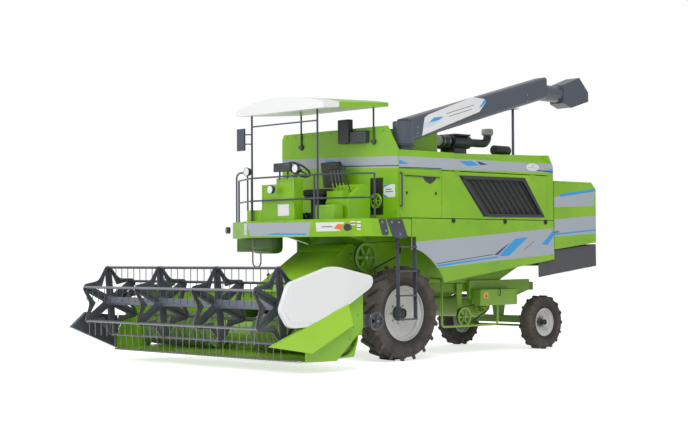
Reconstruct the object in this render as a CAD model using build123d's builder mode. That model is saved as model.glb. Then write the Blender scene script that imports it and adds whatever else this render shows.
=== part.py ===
"""Self-propelled combine harvester with an open platform, grain tank and cutting header.

Millimetres. +X is the machine's left, +Y its rear, +Z up. The origin is on the ground,
midway along the machine, in its centre plane.
"""
import os
from math import asin, atan2, cos, degrees, pi, radians, sin, sqrt

from build123d import *

os.makedirs("parts", exist_ok=True)

# ---------------------------------------------------------------- driving dimensions
FRONT_AXLE_Y = -600          # drive axle
FRONT_R = 730                # over the lugs
FRONT_W = 430
FRONT_X = 1205               # centre of the tyre
FRONT_RIM_R = 425
REAR_AXLE_Y = 3160           # steered axle
REAR_R = 460
REAR_W = 240
REAR_X = 956
REAR_RIM_R = 240
KING_X = 790                 # kingpin of a rear wheel
STEER_ARM = 170              # kingpin to tie rod
HITCH_Y = 3500               # towing pin
HITCH_Z = 960
HITCH_R = 16

BODY_X = 1350                # outer face of the side panels
BODY_FRONT = -722
BODY_REAR = 3040
SEAM_Z = 2200                # between lower and upper side panels
DOOR_FRONT = 270             # upper side door
DOOR_TOP = 2960
DOOR_T = 45
HOOD_TOP_FRONT = 3250
HOOD_TOP_REAR = 3310
TANK_TOP = 3630
TANK_REAR = 560
TANK_LEFT = 985
ARCH_R = 1030                # wheel arch, about the front wheel

DECK_Z = 2150
FASCIA_LOW = 1908
FASCIA_HIGH = 2173
DECK_FRONT = -1956
DECK_CORNER_X = 756
DECK_END_X = 1635
DECK_END_Y = -1554

CANOPY_X = 1030
CANOPY_FRONT = -1960
CANOPY_REAR = -590
CANOPY_Z = 3840              # lower edge at the front

HOOD_FRONT = 3070            # straw hood
HOOD_REAR = 4220
HOOD_Z = 2880

PIVOT_Y = -940               # feeder house and header turn here
PIVOT_Z = 1590
HEADER_X = 2217              # half of the cut
HEADER_END = 2330
KNIFE_Y = -3380
KNIFE_Z = 180
TROUGH_Y = -2710             # table auger
TROUGH_Z = 500
AUGER_R = 270
BACK_Y = -2400               # header's back wall
ARM_Y = -2430                # reel arms turn here
ARM_Z = 1200
REEL_Y = -3680
REEL_Z = 940
REEL_R = 520
REEL_X = 2050
REEL_PHASE = 5               # degrees, at rest
TINE = 215
ARM_X = 2150
FEEDER_X = 520

SWING_X = 1180               # unloading auger's vertical pivot
SWING_Y = -420
SWING_Z = 3345
TUBE_SLOPE = 0.268           # rise of the unloading auger over its run
TUBE_END = 2920

RAM_X = 400                  # header lift cylinders
RAM_LOW = (-830, 560)        # barrel pin, y and z
RAM_HIGH = (-1750, 650)      # rod eye
REEL_RAM_X = 2203
REEL_RAM_LOW = (-2560, 700)
REEL_RAM_HIGH = (-2980, 1060)


# ---------------------------------------------------------------- ways of making shapes
def save(piece, name):
    """Label a finished piece and write it."""
    piece.part.label = name
    export_step(piece.part, f"parts/{name}.step")


def block(low, high, mode=Mode.ADD):
    """A box between two corners."""
    centre = [(a + b) / 2 for a, b in zip(low, high)]
    with Locations(tuple(centre)):
        Box(*[abs(b - a) for a, b in zip(low, high)], mode=mode)


def rod(a, b, radius, mode=Mode.ADD):
    """A round bar from a to b."""
    run = Vector(*b) - Vector(*a)
    with BuildSketch(Plane(origin=a, z_dir=run)) as section:
        Circle(radius)
    extrude(section.sketch, amount=run.length, mode=mode)


def bar(a, b, width, height, up=(0, 0, 1)):
    """A flat-sided bar from a to b: width across, height along up."""
    run = Vector(*b) - Vector(*a)
    across = Vector(*up).cross(run)
    with BuildSketch(Plane(origin=a, x_dir=across, z_dir=run)) as section:
        Rectangle(width, height)
    extrude(section.sketch, amount=run.length)


def bent(points, radius, bend):
    """A round tube along straight runs with rounded corners."""
    with BuildLine() as path:
        FilletPolyline(*points, radius=bend)
    with BuildSketch(Plane(origin=path.line @ 0, z_dir=path.line % 0)) as section:
        Circle(radius)
    sweep(section.sketch, path=path.line)


def slab(points, x, thickness, mode=Mode.ADD):
    """A plate cut to a side outline (y, z), from x towards +X."""
    with BuildSketch(Plane.YZ.offset(x)) as outline:
        with BuildLine():
            Polyline(*points, close=True)
        make_face()
    extrude(outline.sketch, amount=thickness, mode=mode)


def disc(x, y, z, radius, thickness, mode=Mode.ADD):
    """A wheel-like disc, or with SUBTRACT a round hole, from x towards +X."""
    with BuildSketch(Plane(origin=(x, y, z), z_dir=(1, 0, 0))) as face:
        Circle(radius)
    extrude(face.sketch, amount=thickness, mode=mode)


SIDES = {"l": 1, "r": -1}


# ---------------------------------------------------------------- wheels
# wheel: radius, width, rim radius, lugs in a row, lug height, lug width, lug skew in degrees
WHEELS = {
    "front": (FRONT_R, FRONT_W, FRONT_RIM_R, 18, 44, 46, 40),
    "rear": (REAR_R, REAR_W, REAR_RIM_R, 16, 14, 44, 20),
}


def tyre(axle_y, centre_x, kind):
    radius, width, rim_r, lugs, lug_h, lug_w, skew = WHEELS[kind]
    half = width / 2
    tread = radius - lug_h
    plane = Plane(origin=(centre_x, axle_y, radius), x_dir=(1, 0, 0), z_dir=(0, 1, 0))
    with BuildPart() as piece:
        with BuildSketch(plane):
            with BuildLine():
                Polyline((-half * 0.72, rim_r), (-half * 0.98, rim_r + (tread - rim_r) * 0.45),
                         (-half * 0.86, tread - 12), (-half * 0.4, tread), (half * 0.4, tread),
                         (half * 0.86, tread - 12), (half * 0.98, rim_r + (tread - rim_r) * 0.45),
                         (half * 0.72, rim_r), close=True)
            make_face()
        revolve(axis=Axis((centre_x, axle_y, radius), (1, 0, 0)))
        places = []
        for row in (1, -1):
            for k in range(lugs):
                turn = radians(360 * (k + (0.5 if row < 0 else 0)) / lugs)
                spoke = Plane(origin=(centre_x, axle_y, radius), x_dir=(1, 0, 0),
                              z_dir=(0, sin(turn), cos(turn)))
                places.append(spoke.location * Location((row * half * 0.48, 0, tread - 20), row * skew))
        with Locations(*places):
            Box(width * 0.56, lug_w, 2 * lug_h + 40)
        # the lugs are trimmed to the tread's round and to the tyre's width
        with BuildSketch(plane):
            with BuildLine():
                Polyline((-half, 0), (-half, radius - 34), (-half * 0.9, radius), (half * 0.9, radius),
                         (half, radius - 34), (half, 0), close=True)
            make_face()
        revolve(axis=Axis((centre_x, axle_y, radius), (1, 0, 0)), mode=Mode.INTERSECT)
        with BuildSketch(plane):
            with Locations((0, rim_r / 2)):
                Rectangle(width * 2, rim_r)
        revolve(axis=Axis((centre_x, axle_y, radius), (1, 0, 0)), mode=Mode.SUBTRACT)
    return piece


def rim(axle_y, centre_x, kind, disc_x, hub_r, hole_r):
    """A drop-centre rim; its disc stands disc_x out from the tyre's centre."""
    radius, width, rim_r = WHEELS[kind][:3]
    side = 1 if centre_x > 0 else -1
    half = width * 0.36
    wall = 12
    plane = Plane(origin=(centre_x, axle_y, radius), x_dir=(side, 0, 0), z_dir=(0, side, 0))
    with BuildPart() as piece:
        with BuildSketch(plane):
            with BuildLine():
                Polyline((-half, rim_r), (-half, rim_r - wall), (-half * 0.5, rim_r - wall),
                         (-half * 0.35, rim_r - 50), (disc_x - 20, rim_r - 50),
                         (disc_x - 60, rim_r * 0.45), (disc_x - 60, hole_r), (disc_x - 46, hole_r),
                         (disc_x - 46, rim_r * 0.45), (disc_x - 6, rim_r - 50),
                         (half * 0.55, rim_r - 50), (half * 0.7, rim_r - wall), (half, rim_r - wall),
                         (half, rim_r), close=True)
            make_face()
        revolve(axis=Axis((centre_x, axle_y, radius), (1, 0, 0)))
    return piece


left_tyres = {"f": tyre(FRONT_AXLE_Y, FRONT_X, "front"), "r": tyre(REAR_AXLE_Y, REAR_X, "rear")}
for end, left_tyre in left_tyres.items():
    save(left_tyre, f"tyre_{end}l")
    with BuildPart() as right_tyre:
        add(left_tyre.part.mirror(Plane.YZ))
    save(right_tyre, f"tyre_{end}r")

for side, s in SIDES.items():
    front_rim = rim(FRONT_AXLE_Y, s * FRONT_X, "front", 60, 120, 62)
    save(front_rim, f"rim_f{side}")
    rear_rim = rim(REAR_AXLE_Y, s * REAR_X, "rear", 30, 70, 32)
    save(rear_rim, f"rim_r{side}")

# ---------------------------------------------------------------- chassis and axles
RAIL_X = 620
RAIL_Z = 1010

with BuildPart() as chassis:
    for s in (1, -1):
        block((s * RAIL_X - 55, BODY_FRONT + 20, RAIL_Z), (s * RAIL_X + 55, 3300, RAIL_Z + 140))
        # a leg down to the drive axle and one to the steered axle
        block((s * RAIL_X - 55, FRONT_AXLE_Y - 90, 830), (s * RAIL_X + 55, FRONT_AXLE_Y + 90, RAIL_Z))
    for y in (-400, 1400, REAR_AXLE_Y):
        block((-RAIL_X + 55, y - 50, RAIL_Z + 10), (RAIL_X - 55, y + 50, RAIL_Z + 120))
    slab([(REAR_AXLE_Y - 160, RAIL_Z + 10), (REAR_AXLE_Y + 130, RAIL_Z + 10), (REAR_AXLE_Y + 130, HITCH_Z - 100),
          (REAR_AXLE_Y + 70, 560), (REAR_AXLE_Y - 70, 560)], -60, 120)
save(chassis, "chassis_frame")

# towing clevis: two plates behind the post, with a hole for the drawbar's pin
with BuildPart() as hitch:
    for z in (HITCH_Z - 50, HITCH_Z + 25):
        with BuildSketch(Plane.XY.offset(z)) as ear:
            with Locations((0, HITCH_Y - 90)):
                Rectangle(110, 180)
            with Locations((0, HITCH_Y)):
                Circle(55)
                Circle(HITCH_R, mode=Mode.SUBTRACT)
        extrude(ear.sketch, amount=25)
    block((-70, REAR_AXLE_Y + 130, HITCH_Z - 90), (70, HITCH_Y - 90, HITCH_Z + 90))
save(hitch, "tow_hitch")

with BuildPart() as front_axle:
    rod((-940, FRONT_AXLE_Y, FRONT_R), (940, FRONT_AXLE_Y, FRONT_R), 98)
    for s in (1, -1):
        rod((s * 700, FRONT_AXLE_Y, FRONT_R), (s * 930, FRONT_AXLE_Y, FRONT_R), 200)
        rod((s * 930, FRONT_AXLE_Y, FRONT_R), (s * 1300, FRONT_AXLE_Y, FRONT_R), 60)
        # ears for the lift cylinders
        for e in (-84, 56):
            x = s * RAM_X + e
            slab([(FRONT_AXLE_Y, FRONT_R + 60), (FRONT_AXLE_Y, FRONT_R - 90), (RAM_LOW[0] - 30, 560),
                  (RAM_LOW[0] - 50, 620), (RAM_LOW[0], 650)], x, 28)
    block((-260, FRONT_AXLE_Y - 180, 520), (260, FRONT_AXLE_Y + 330, 990))
    for s in (1, -1):
        rod((s * RAM_X - 84, *RAM_LOW), (s * RAM_X + 84, *RAM_LOW), 19)
save(front_axle, "front_axle")

with BuildPart() as rear_axle:
    bar((-KING_X + 60, REAR_AXLE_Y, 500), (KING_X - 60, REAR_AXLE_Y, 500), 130, 120)
    for s in (1, -1):
        # fork that holds the kingpin
        for low, high in ((355, 395), (565, 605)):
            block((s * (KING_X - 100), REAR_AXLE_Y - 45, low), (s * (KING_X + 40), REAR_AXLE_Y + 45, high))
        block((s * (KING_X - 140), REAR_AXLE_Y - 45, 355), (s * (KING_X - 75), REAR_AXLE_Y + 45, 605))
        rod((s * KING_X, REAR_AXLE_Y, 345), (s * KING_X, REAR_AXLE_Y, 615), 20)
save(rear_axle, "rear_axle")

for side, s in SIDES.items():
    with BuildPart() as knuckle:
        rod((s * KING_X, REAR_AXLE_Y, 402), (s * KING_X, REAR_AXLE_Y, 558), 48)
        rod((s * (KING_X + 20), REAR_AXLE_Y, REAR_R), (s * (REAR_X + 60), REAR_AXLE_Y, REAR_R), 30)
        rod((s * (KING_X + 20), REAR_AXLE_Y, REAR_R), (s * (KING_X + 92), REAR_AXLE_Y, REAR_R), 60)
        block((s * KING_X - 26, REAR_AXLE_Y + 30, 410),
              (s * KING_X + 26, REAR_AXLE_Y + STEER_ARM + 30, 435))
        with BuildSketch(Plane.XY.offset(390)):
            with Locations((s * KING_X, REAR_AXLE_Y)):
                Circle(21)
        extrude(amount=200, mode=Mode.SUBTRACT)
    save(knuckle, f"knuckle_{side}")

with BuildPart() as tie_rod:
    rod((-KING_X + 30, REAR_AXLE_Y + STEER_ARM, 380), (KING_X - 30, REAR_AXLE_Y + STEER_ARM, 380), 18)
    for s in (1, -1):
        rod((s * KING_X, REAR_AXLE_Y + STEER_ARM, 352), (s * KING_X, REAR_AXLE_Y + STEER_ARM, 406), 28)
        rod((s * (KING_X - 40), REAR_AXLE_Y + STEER_ARM, 380), (s * KING_X, REAR_AXLE_Y + STEER_ARM, 380), 22)
save(tie_rod, "tie_rod")

# ---------------------------------------------------------------- body
CORE_X = 700
BOARD_T = 38
OUTRIGGERS = (-560, 250, 1100, 1950, 2800)
with BuildPart() as body:
    slab([(BODY_FRONT + 15, 1180), (BODY_FRONT + 15, SEAM_Z), (BODY_REAR - 30, SEAM_Z),
          (BODY_REAR - 30, 1480), (2300, 1160), (BODY_FRONT + 240, 1160)], -CORE_X, 2 * CORE_X)
save(body, "threshing_body")

# side frames: a rail along each seam on outriggers, and posts in front of the side doors
with BuildPart() as side_frames:
    for s in (1, -1):
        block((s * (BODY_X - 60), BODY_FRONT + BOARD_T + 4, SEAM_Z - 40), (s * (BODY_X - 46), BODY_REAR - 170, SEAM_Z))
        block((s * (BODY_X - 60), BODY_FRONT + BOARD_T + 4, SEAM_Z - 40), (s * (BODY_X - 22), BODY_REAR - 170, SEAM_Z - 30))
        block((s * (BODY_X - 48), DOOR_FRONT - 56, SEAM_Z - 10), (s * (BODY_X - 40), DOOR_FRONT - 10, DOOR_TOP))
        for y in OUTRIGGERS:
            block((s * CORE_X, y - 25, SEAM_Z - 60), (s * (BODY_X - 50), y + 25, SEAM_Z - 30))
save(side_frames, "side_frames")

TANK_WALL = 30
TANK_MID = ((TANK_LEFT - BODY_X + 50) / 2, (BODY_FRONT + 40 + TANK_REAR) / 2)
TANK_INSIDE = (TANK_LEFT + BODY_X - 50 - 2 * TANK_WALL, TANK_REAR - BODY_FRONT - 40 - 2 * TANK_WALL)
HOPPER_Z = 2950              # walls upright above, sloping below
with BuildPart() as tank:
    block((-BODY_X + 50, BODY_FRONT + BOARD_T, SEAM_Z), (TANK_LEFT, TANK_REAR, TANK_TOP - 30))
    with BuildSketch(Plane.XY.offset(2420)):
        with Locations(TANK_MID):
            Rectangle(400, 300)
    with BuildSketch(Plane.XY.offset(HOPPER_Z)):
        with Locations(TANK_MID):
            Rectangle(*TANK_INSIDE)
    loft(mode=Mode.SUBTRACT)
    with BuildSketch(Plane.XY.offset(HOPPER_Z)):
        with Locations(TANK_MID):
            Rectangle(*TANK_INSIDE)
    extrude(amount=TANK_TOP - HOPPER_Z, mode=Mode.SUBTRACT)
    # front board: full width, corners cut, open where the belts run
    with BuildSketch(Plane(origin=(0, BODY_FRONT + BOARD_T, 0), x_dir=(1, 0, 0), z_dir=(0, -1, 0))):
        with BuildLine():
            Polyline((-BODY_X, SEAM_Z), (BODY_X, SEAM_Z), (BODY_X, HOOD_TOP_FRONT), (1120, TANK_TOP),
                     (-1300, TANK_TOP), (-BODY_X, TANK_TOP - 80), close=True)
        make_face()
        with Locations((890, 2540)):
            Rectangle(290, 580, mode=Mode.SUBTRACT)
    extrude(amount=BOARD_T)
save(tank, "grain_tank")

with BuildPart() as engine:
    block((-450, 900, SEAM_Z + 40), (450, 2200, 3080))
save(engine, "engine")

# hood over the engine: a roof with rounded shoulders, carried down to the tops of the side doors
HOOD_T = 40
with BuildPart() as hood:
    with BuildSketch(Plane(origin=(0, TANK_REAR + 6, 0), x_dir=(1, 0, 0), z_dir=(0, -1, 0))):
        with BuildLine():
            Polyline((-BODY_X, DOOR_TOP + 6), (-BODY_X, 3150), (-BODY_X + 120, HOOD_TOP_FRONT),
                     (BODY_X - 120, HOOD_TOP_FRONT), (BODY_X, 3150), (BODY_X, DOOR_TOP + 6), close=True)
        make_face()
    with BuildSketch(Plane(origin=(0, BODY_REAR - 120, 0), x_dir=(1, 0, 0), z_dir=(0, -1, 0))):
        with BuildLine():
            Polyline((-BODY_X, DOOR_TOP + 6), (-BODY_X, 3200), (-BODY_X + 120, HOOD_TOP_REAR),
                     (BODY_X - 120, HOOD_TOP_REAR), (BODY_X, 3200), (BODY_X, DOOR_TOP + 6), close=True)
        make_face()
    loft(ruled=True)
    block((-BODY_X + HOOD_T, TANK_REAR, DOOR_TOP - 10), (BODY_X - HOOD_T, BODY_REAR - 160, 3120), Mode.SUBTRACT)
    # rear wall, down to the seam
    slab([(BODY_REAR - 160, SEAM_Z + 6), (BODY_REAR, SEAM_Z + 6), (BODY_REAR, DOOR_TOP + 160),
          (BODY_REAR - 120, HOOD_TOP_REAR - 4), (BODY_REAR - 160, HOOD_TOP_REAR - 4)],
         -BODY_X, 2 * BODY_X)
    # left shoulder beside the tank, which carries the unloading auger
    slab([(BODY_FRONT + BOARD_T + 2, DOOR_TOP + 6), (TANK_REAR + 6, DOOR_TOP + 6), (TANK_REAR + 6, HOOD_TOP_FRONT),
          (BODY_FRONT + BOARD_T + 2, HOOD_TOP_FRONT)], TANK_LEFT + 2, BODY_X - TANK_LEFT - 2)
save(hood, "engine_hood")

INTAKE_X = 700


def hood_top(y):
    """Height of the hood's roof."""
    return HOOD_TOP_FRONT + (HOOD_TOP_REAR - HOOD_TOP_FRONT) * (y - TANK_REAR) / (BODY_REAR - 120 - TANK_REAR)


with BuildPart() as intake:
    # two filter cans, the mushroom-capped stack and the silencer
    for y in (1010, 1420):
        rod((INTAKE_X, y - 130, 3500), (INTAKE_X, y + 130, 3500), 110)
        block((INTAKE_X - 40, y - 60, hood_top(y + 60)), (INTAKE_X + 40, y + 60, 3440))
    rod((INTAKE_X, 2020, hood_top(2085)), (INTAKE_X, 2020, 3640), 65)
    rod((INTAKE_X, 2020, 3600), (INTAKE_X, 2020, 3690), 170)
    rod((INTAKE_X, 2160, 3400), (INTAKE_X, 2560, 3400), 75)
    block((INTAKE_X - 40, 2300, hood_top(2420)), (INTAKE_X + 40, 2420, 3350))
save(intake, "air_intake")

# lower side panels with the wheel arch, seam to lower edge
PANEL_T = 22
with BuildPart() as lower_panels:
    for s in (1, -1):
        with BuildSketch(Plane.YZ.offset(s * BODY_X - (PANEL_T if s > 0 else 0))):
            with BuildLine():
                a = (FRONT_AXLE_Y + 290, FRONT_R + sqrt(ARCH_R ** 2 - 290 ** 2))
                b = (FRONT_AXLE_Y + 920, FRONT_R + sqrt(ARCH_R ** 2 - 920 ** 2))
                RadiusArc(a, b, ARCH_R)
                Polyline(b, (BODY_REAR + 20, 1540), (BODY_REAR, SEAM_Z - 6), (-410, SEAM_Z - 6), (-410, 1700), a)
            make_face()
        extrude(amount=PANEL_T)
save(lower_panels, "lower_panels")

# lift-off panels in front of the side doors
with BuildPart() as front_panels:
    for s in (1, -1):
        slab([(BODY_FRONT + BOARD_T + 4, SEAM_Z + 6), (DOOR_FRONT - 8, SEAM_Z + 6), (DOOR_FRONT - 8, DOOR_TOP),
              (BODY_FRONT + BOARD_T + 4, DOOR_TOP)], s * BODY_X - (40 if s > 0 else 0), 40)
        rod((s * (BODY_X + 40), BODY_FRONT + 60, 2370), (s * (BODY_X + 40), BODY_FRONT + 60, 2900), 14)
        for z in (2384, 2886):
            rod((s * (BODY_X - 10), BODY_FRONT + 60, z), (s * (BODY_X + 40), BODY_FRONT + 60, z), 12)
save(front_panels, "front_panels")

# upper side doors: a shell with a folded edge, a barred grille and a hinge along the top
GRILLE = [(740, 2840), (2230, 2850), (2740, 2300), (1330, 2290)]
for side, s in SIDES.items():
    with BuildPart() as door:
        outer = BODY_X if s > 0 else -BODY_X + DOOR_T
        slab([(DOOR_FRONT, SEAM_Z + 6), (BODY_REAR - 166, SEAM_Z + 6), (BODY_REAR - 166, DOOR_TOP - 8),
              (DOOR_FRONT, DOOR_TOP - 8)], outer - DOOR_T, DOOR_T)
        slab([(DOOR_FRONT + 40, SEAM_Z + 46), (BODY_REAR - 206, SEAM_Z + 46), (BODY_REAR - 206, DOOR_TOP - 48),
              (DOOR_FRONT + 40, DOOR_TOP - 48)], s * (BODY_X - 20) - (40 if s > 0 else 0), 40, Mode.SUBTRACT)
        slab(GRILLE, outer - DOOR_T - 5, DOOR_T + 10, Mode.SUBTRACT)
        # bars lean with the opening's ends
        for k in range(11):
            y = 740 + 1490 * (k + 0.5) / 11
            bar((s * (BODY_X - 12), y - 8, 2855), (s * (BODY_X - 12), y + 525, 2283), 10, 16, (1, 0, 0))
        for y in (DOOR_FRONT + 300, BODY_REAR - 600):
            rod((s * BODY_X, y, DOOR_TOP - 9), (s * BODY_X, y + 120, DOOR_TOP - 9), 9)
    save(door, f"side_door_{side}")

# ---------------------------------------------------------------- straw hood
with BuildPart() as straw_hood:
    slab([(HOOD_FRONT, HOOD_Z), (4090, HOOD_Z), (HOOD_REAR, HOOD_Z - 110), (HOOD_REAR, 1830), (HOOD_FRONT, 1710)],
         -BODY_X, 2 * BODY_X)
    slab([(HOOD_FRONT - 10, HOOD_Z - 25), (4080, HOOD_Z - 25), (HOOD_REAR - 25, HOOD_Z - 125),
          (HOOD_REAR - 25, 1600), (HOOD_FRONT - 10, 1600)], -BODY_X + 25, 2 * BODY_X - 50, Mode.SUBTRACT)
    # beacon on a short stem
    rod((0, 3640, HOOD_Z - 5), (0, 3640, HOOD_Z + 60), 30)
    rod((0, 3640, HOOD_Z + 55), (0, 3640, HOOD_Z + 150), 70)
save(straw_hood, "straw_hood")

with BuildPart() as curtain:
    flap = [(2670, 1240), (4250, 1420), (4250, 1830), (HOOD_FRONT, 1708), (BODY_REAR - 100, 1700), (2670, 1640)]
    for s in (1, -1):
        slab(flap, s * (BODY_X - 33) - 8, 16)
    block((-BODY_X + 25, 4222, 1418), (BODY_X - 25, 4250, 1830))
save(curtain, "straw_curtain")

# ---------------------------------------------------------------- operator's platform
with BuildPart() as platform:
    front = [(-DECK_END_X, DECK_END_Y), (-DECK_CORNER_X, DECK_FRONT), (DECK_CORNER_X, DECK_FRONT),
             (DECK_END_X, DECK_END_Y)]
    with BuildSketch(Plane.XY.offset(DECK_Z - 30)):
        with BuildLine():
            Polyline(*front, (DECK_END_X, BODY_FRONT - 4), (-DECK_END_X, BODY_FRONT - 4), close=True)
        make_face()
    extrude(amount=30)
    # fascia along the front and both chamfered corners
    for a, b in zip(front, front[1:]):
        low = [Vector(*a), Vector(*b)]
        inward = (low[1] - low[0]).normalized().rotate(Axis.Z, 90) * 30
        with BuildSketch(Plane.XY.offset(FASCIA_LOW)):
            with BuildLine():
                Polyline(a, b, tuple(low[1] + inward)[:2], tuple(low[0] + inward)[:2], close=True)
            make_face()
        extrude(amount=FASCIA_HIGH - FASCIA_LOW)
    for s in (1, -1):
        block((s * DECK_END_X, DECK_END_Y, FASCIA_LOW), (s * (DECK_END_X - 30), BODY_FRONT - 4, FASCIA_HIGH))
        bar((s * 700, DECK_FRONT + 160, DECK_Z - 45), (s * 700, BODY_FRONT + 3, 1840), 60, 60)
save(platform, "platform")

RAIL_HIGH = 2850
RAIL_MID = 2490
with BuildPart() as railing:
    for z in (RAIL_HIGH, RAIL_MID):
        bent([(-1500, -1530, z), (-770, -1890, z), (770, -1890, z), (1450, -1550, z), (1580, -1440, z)], 14, 60)
    for x, y in ((-740, -1890), (740, -1890), (1580, -1440), (-1500, -1530)):
        rod((x, y, DECK_Z), (x, y, RAIL_HIGH), 15)
save(railing, "railing")

with BuildPart() as ladder:
    for y in (-930, -560):
        bar((1540, y, 1906), (1560, y, 640), 70, 12, (0, 1, 0))
    for z in (1750, 1380, 1010, 650):
        block((1500, -934, z - 12), (1600, -556, z + 12))
save(ladder, "ladder")

with BuildPart() as canopy:
    with BuildSketch(Plane(origin=(0, CANOPY_FRONT, 0), x_dir=(1, 0, 0), z_dir=(0, -1, 0))):
        with BuildLine():
            Line((-CANOPY_X, CANOPY_Z), (CANOPY_X, CANOPY_Z))
            Line((CANOPY_X, CANOPY_Z), (CANOPY_X, CANOPY_Z + 90))
            ThreePointArc((CANOPY_X, CANOPY_Z + 90), (0, CANOPY_Z + 230), (-CANOPY_X, CANOPY_Z + 90))
            Line((-CANOPY_X, CANOPY_Z + 90), (-CANOPY_X, CANOPY_Z))
        make_face()
    with BuildSketch(Plane(origin=(0, CANOPY_REAR, 0), x_dir=(1, 0, 0), z_dir=(0, -1, 0))):
        with BuildLine():
            Line((-CANOPY_X, CANOPY_Z + 100), (CANOPY_X, CANOPY_Z + 100))
            Line((CANOPY_X, CANOPY_Z + 100), (CANOPY_X, CANOPY_Z + 160))
            ThreePointArc((CANOPY_X, CANOPY_Z + 160), (0, CANOPY_Z + 260), (-CANOPY_X, CANOPY_Z + 160))
            Line((-CANOPY_X, CANOPY_Z + 160), (-CANOPY_X, CANOPY_Z + 100))
        make_face()
    loft(ruled=True)
save(canopy, "canopy")

POST_X = 774
POST_Y = -1852
with BuildPart() as canopy_posts:
    for s in (1, -1):
        rod((s * POST_X, POST_Y, DECK_Z), (s * POST_X, POST_Y, CANOPY_Z + 3), 16)
        rod((s * 850, BODY_FRONT - 18, 3350), (s * 850, BODY_FRONT - 18, CANOPY_Z + 88), 15)
        block((s * 850 - 40, BODY_FRONT - 40, 3370), (s * 850 + 40, BODY_FRONT, 3430))
    rod((-POST_X, POST_Y, 3670), (POST_X, POST_Y, 3670), 12)
save(canopy_posts, "canopy_posts")

SEAT = (100, -1150)
with BuildPart() as seat:
    block((SEAT[0] - 240, SEAT[1] - 230, 2560), (SEAT[0] + 240, SEAT[1] + 230, 2680))
    block((SEAT[0] - 220, SEAT[1] + 170, 2690), (SEAT[0] + 220, SEAT[1] + 280, 3120))
save(seat, "seat_cushion")

with BuildPart() as seat_base:
    block((SEAT[0] - 170, SEAT[1] - 180, DECK_Z), (SEAT[0] + 170, SEAT[1] + 180, 2300))
    block((SEAT[0] - 120, SEAT[1] - 130, 2290), (SEAT[0] + 120, SEAT[1] + 130, 2500))
    block((SEAT[0] - 200, SEAT[1] - 200, 2500), (SEAT[0] + 200, SEAT[1] + 200, 2558))
save(seat_base, "seat_base")

WHEEL_AT = (100, -1640, 2960)
with BuildPart() as steering:
    block((WHEEL_AT[0] - 130, -1850, DECK_Z), (WHEEL_AT[0] + 130, -1690, 2800))
    rod((WHEEL_AT[0], -1760, 2780), WHEEL_AT, 30)
    tilt = Plane(origin=WHEEL_AT, z_dir=Vector(0, 120, 180))
    with Locations(tilt.location):
        Torus(190, 15)
        Cylinder(50, 30)
        for a in (90, 210, 330):
            with Locations(Location((95 * cos(radians(a)), 95 * sin(radians(a)), 0), a)):
                Box(180, 24, 12)
save(steering, "steering_column")

with BuildPart() as console:
    block((430, -1350, DECK_Z), (780, -900, 2620))
    for k in range(4):
        rod((480 + 80 * k, -1240, 2600), (500 + 80 * k, -1340, 2960), 9)
        with Locations((500 + 80 * k, -1340, 2970)):
            Sphere(22)
save(console, "lever_console")

with BuildPart() as lamps:
    for x, z in ((-730, 2950), (430, 2950), (-160, 2650)):
        rod((x, -1950, z), (x, -2010, z), 62)
    for s in (1, -1):
        x, y = s * 1400, (DECK_FRONT + DECK_END_Y) / 2 - 60
        rod((x, y + 10, 2040), (x + s * 24, y - 46, 2040), 55)
save(lamps, "lamps")

with BuildPart() as mirror:
    for s in (-1,):
        rod((s * (POST_X + 20), POST_Y, 3400), (s * 920, -1950, 3400), 10)
        rod((s * (POST_X + 20), POST_Y, 3550), (s * 920, -1950, 3550), 10)
        block((s * 900 - 90, -1985, 3290), (s * 900 + 90, -1955, 3640))
save(mirror, "mirror")

with BuildPart() as oil_tank:
    rod((-1150, -1500, 1760), (-700, -1500, 1760), 165)
    for x in (-1100, -760):
        block((x - 20, -1560, 1850), (x + 20, -1440, DECK_Z - 32))
save(oil_tank, "oil_tank")

# ---------------------------------------------------------------- unloading auger
TUBE_H = 370                 # upright height of the tube's section
TUBE_W = 300
TUBE_BASE_Z = 3565           # its centre at the pivot
REST_Y = 2200
rest_z = TUBE_BASE_Z + TUBE_SLOPE * (REST_Y - 30 - SWING_Y) - TUBE_H / 2
with BuildPart() as turret:
    rod((SWING_X, SWING_Y, HOOD_TOP_FRONT), (SWING_X, SWING_Y, SWING_Z), 150)
    rod((SWING_X, SWING_Y, SWING_Z - 22), (SWING_X, SWING_Y, SWING_Z), 180)
    # rest for the tube
    rod((SWING_X, REST_Y, hood_top(REST_Y + 22)), (SWING_X, REST_Y, rest_z - 10), 22)
    block((SWING_X - 110, REST_Y - 30, rest_z - 22), (SWING_X + 110, REST_Y + 30, rest_z - 10))
save(turret, "auger_turret")

with BuildPart() as unloader:
    end_z = TUBE_BASE_Z + TUBE_SLOPE * (TUBE_END - SWING_Y)
    rod((SWING_X, SWING_Y, SWING_Z + 5), (SWING_X, SWING_Y, 3700), 165)
    for y, z in ((SWING_Y, TUBE_BASE_Z), (TUBE_END, end_z)):
        with BuildSketch(Plane(origin=(SWING_X, y, z), x_dir=(1, 0, 0), z_dir=(0, -1, 0))):
            RectangleRounded(TUBE_W, TUBE_H, 60)
    loft(ruled=True)
    # neck and the spout, open underneath
    rod((SWING_X, TUBE_END - 40, 4390), (SWING_X, 3400, 4390), 140)
    slab([(3370, 4230), (3380, 4550), (3810, 4700), (4060, 4460), (4060, 4300), (3580, 4160)], SWING_X - 150, 300)
    slab([(3570, 4100), (3560, 4500), (3790, 4580), (3975, 4420), (4100, 4250)], SWING_X - 135, 270, Mode.SUBTRACT)
save(unloader, "unloading_auger")

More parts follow.
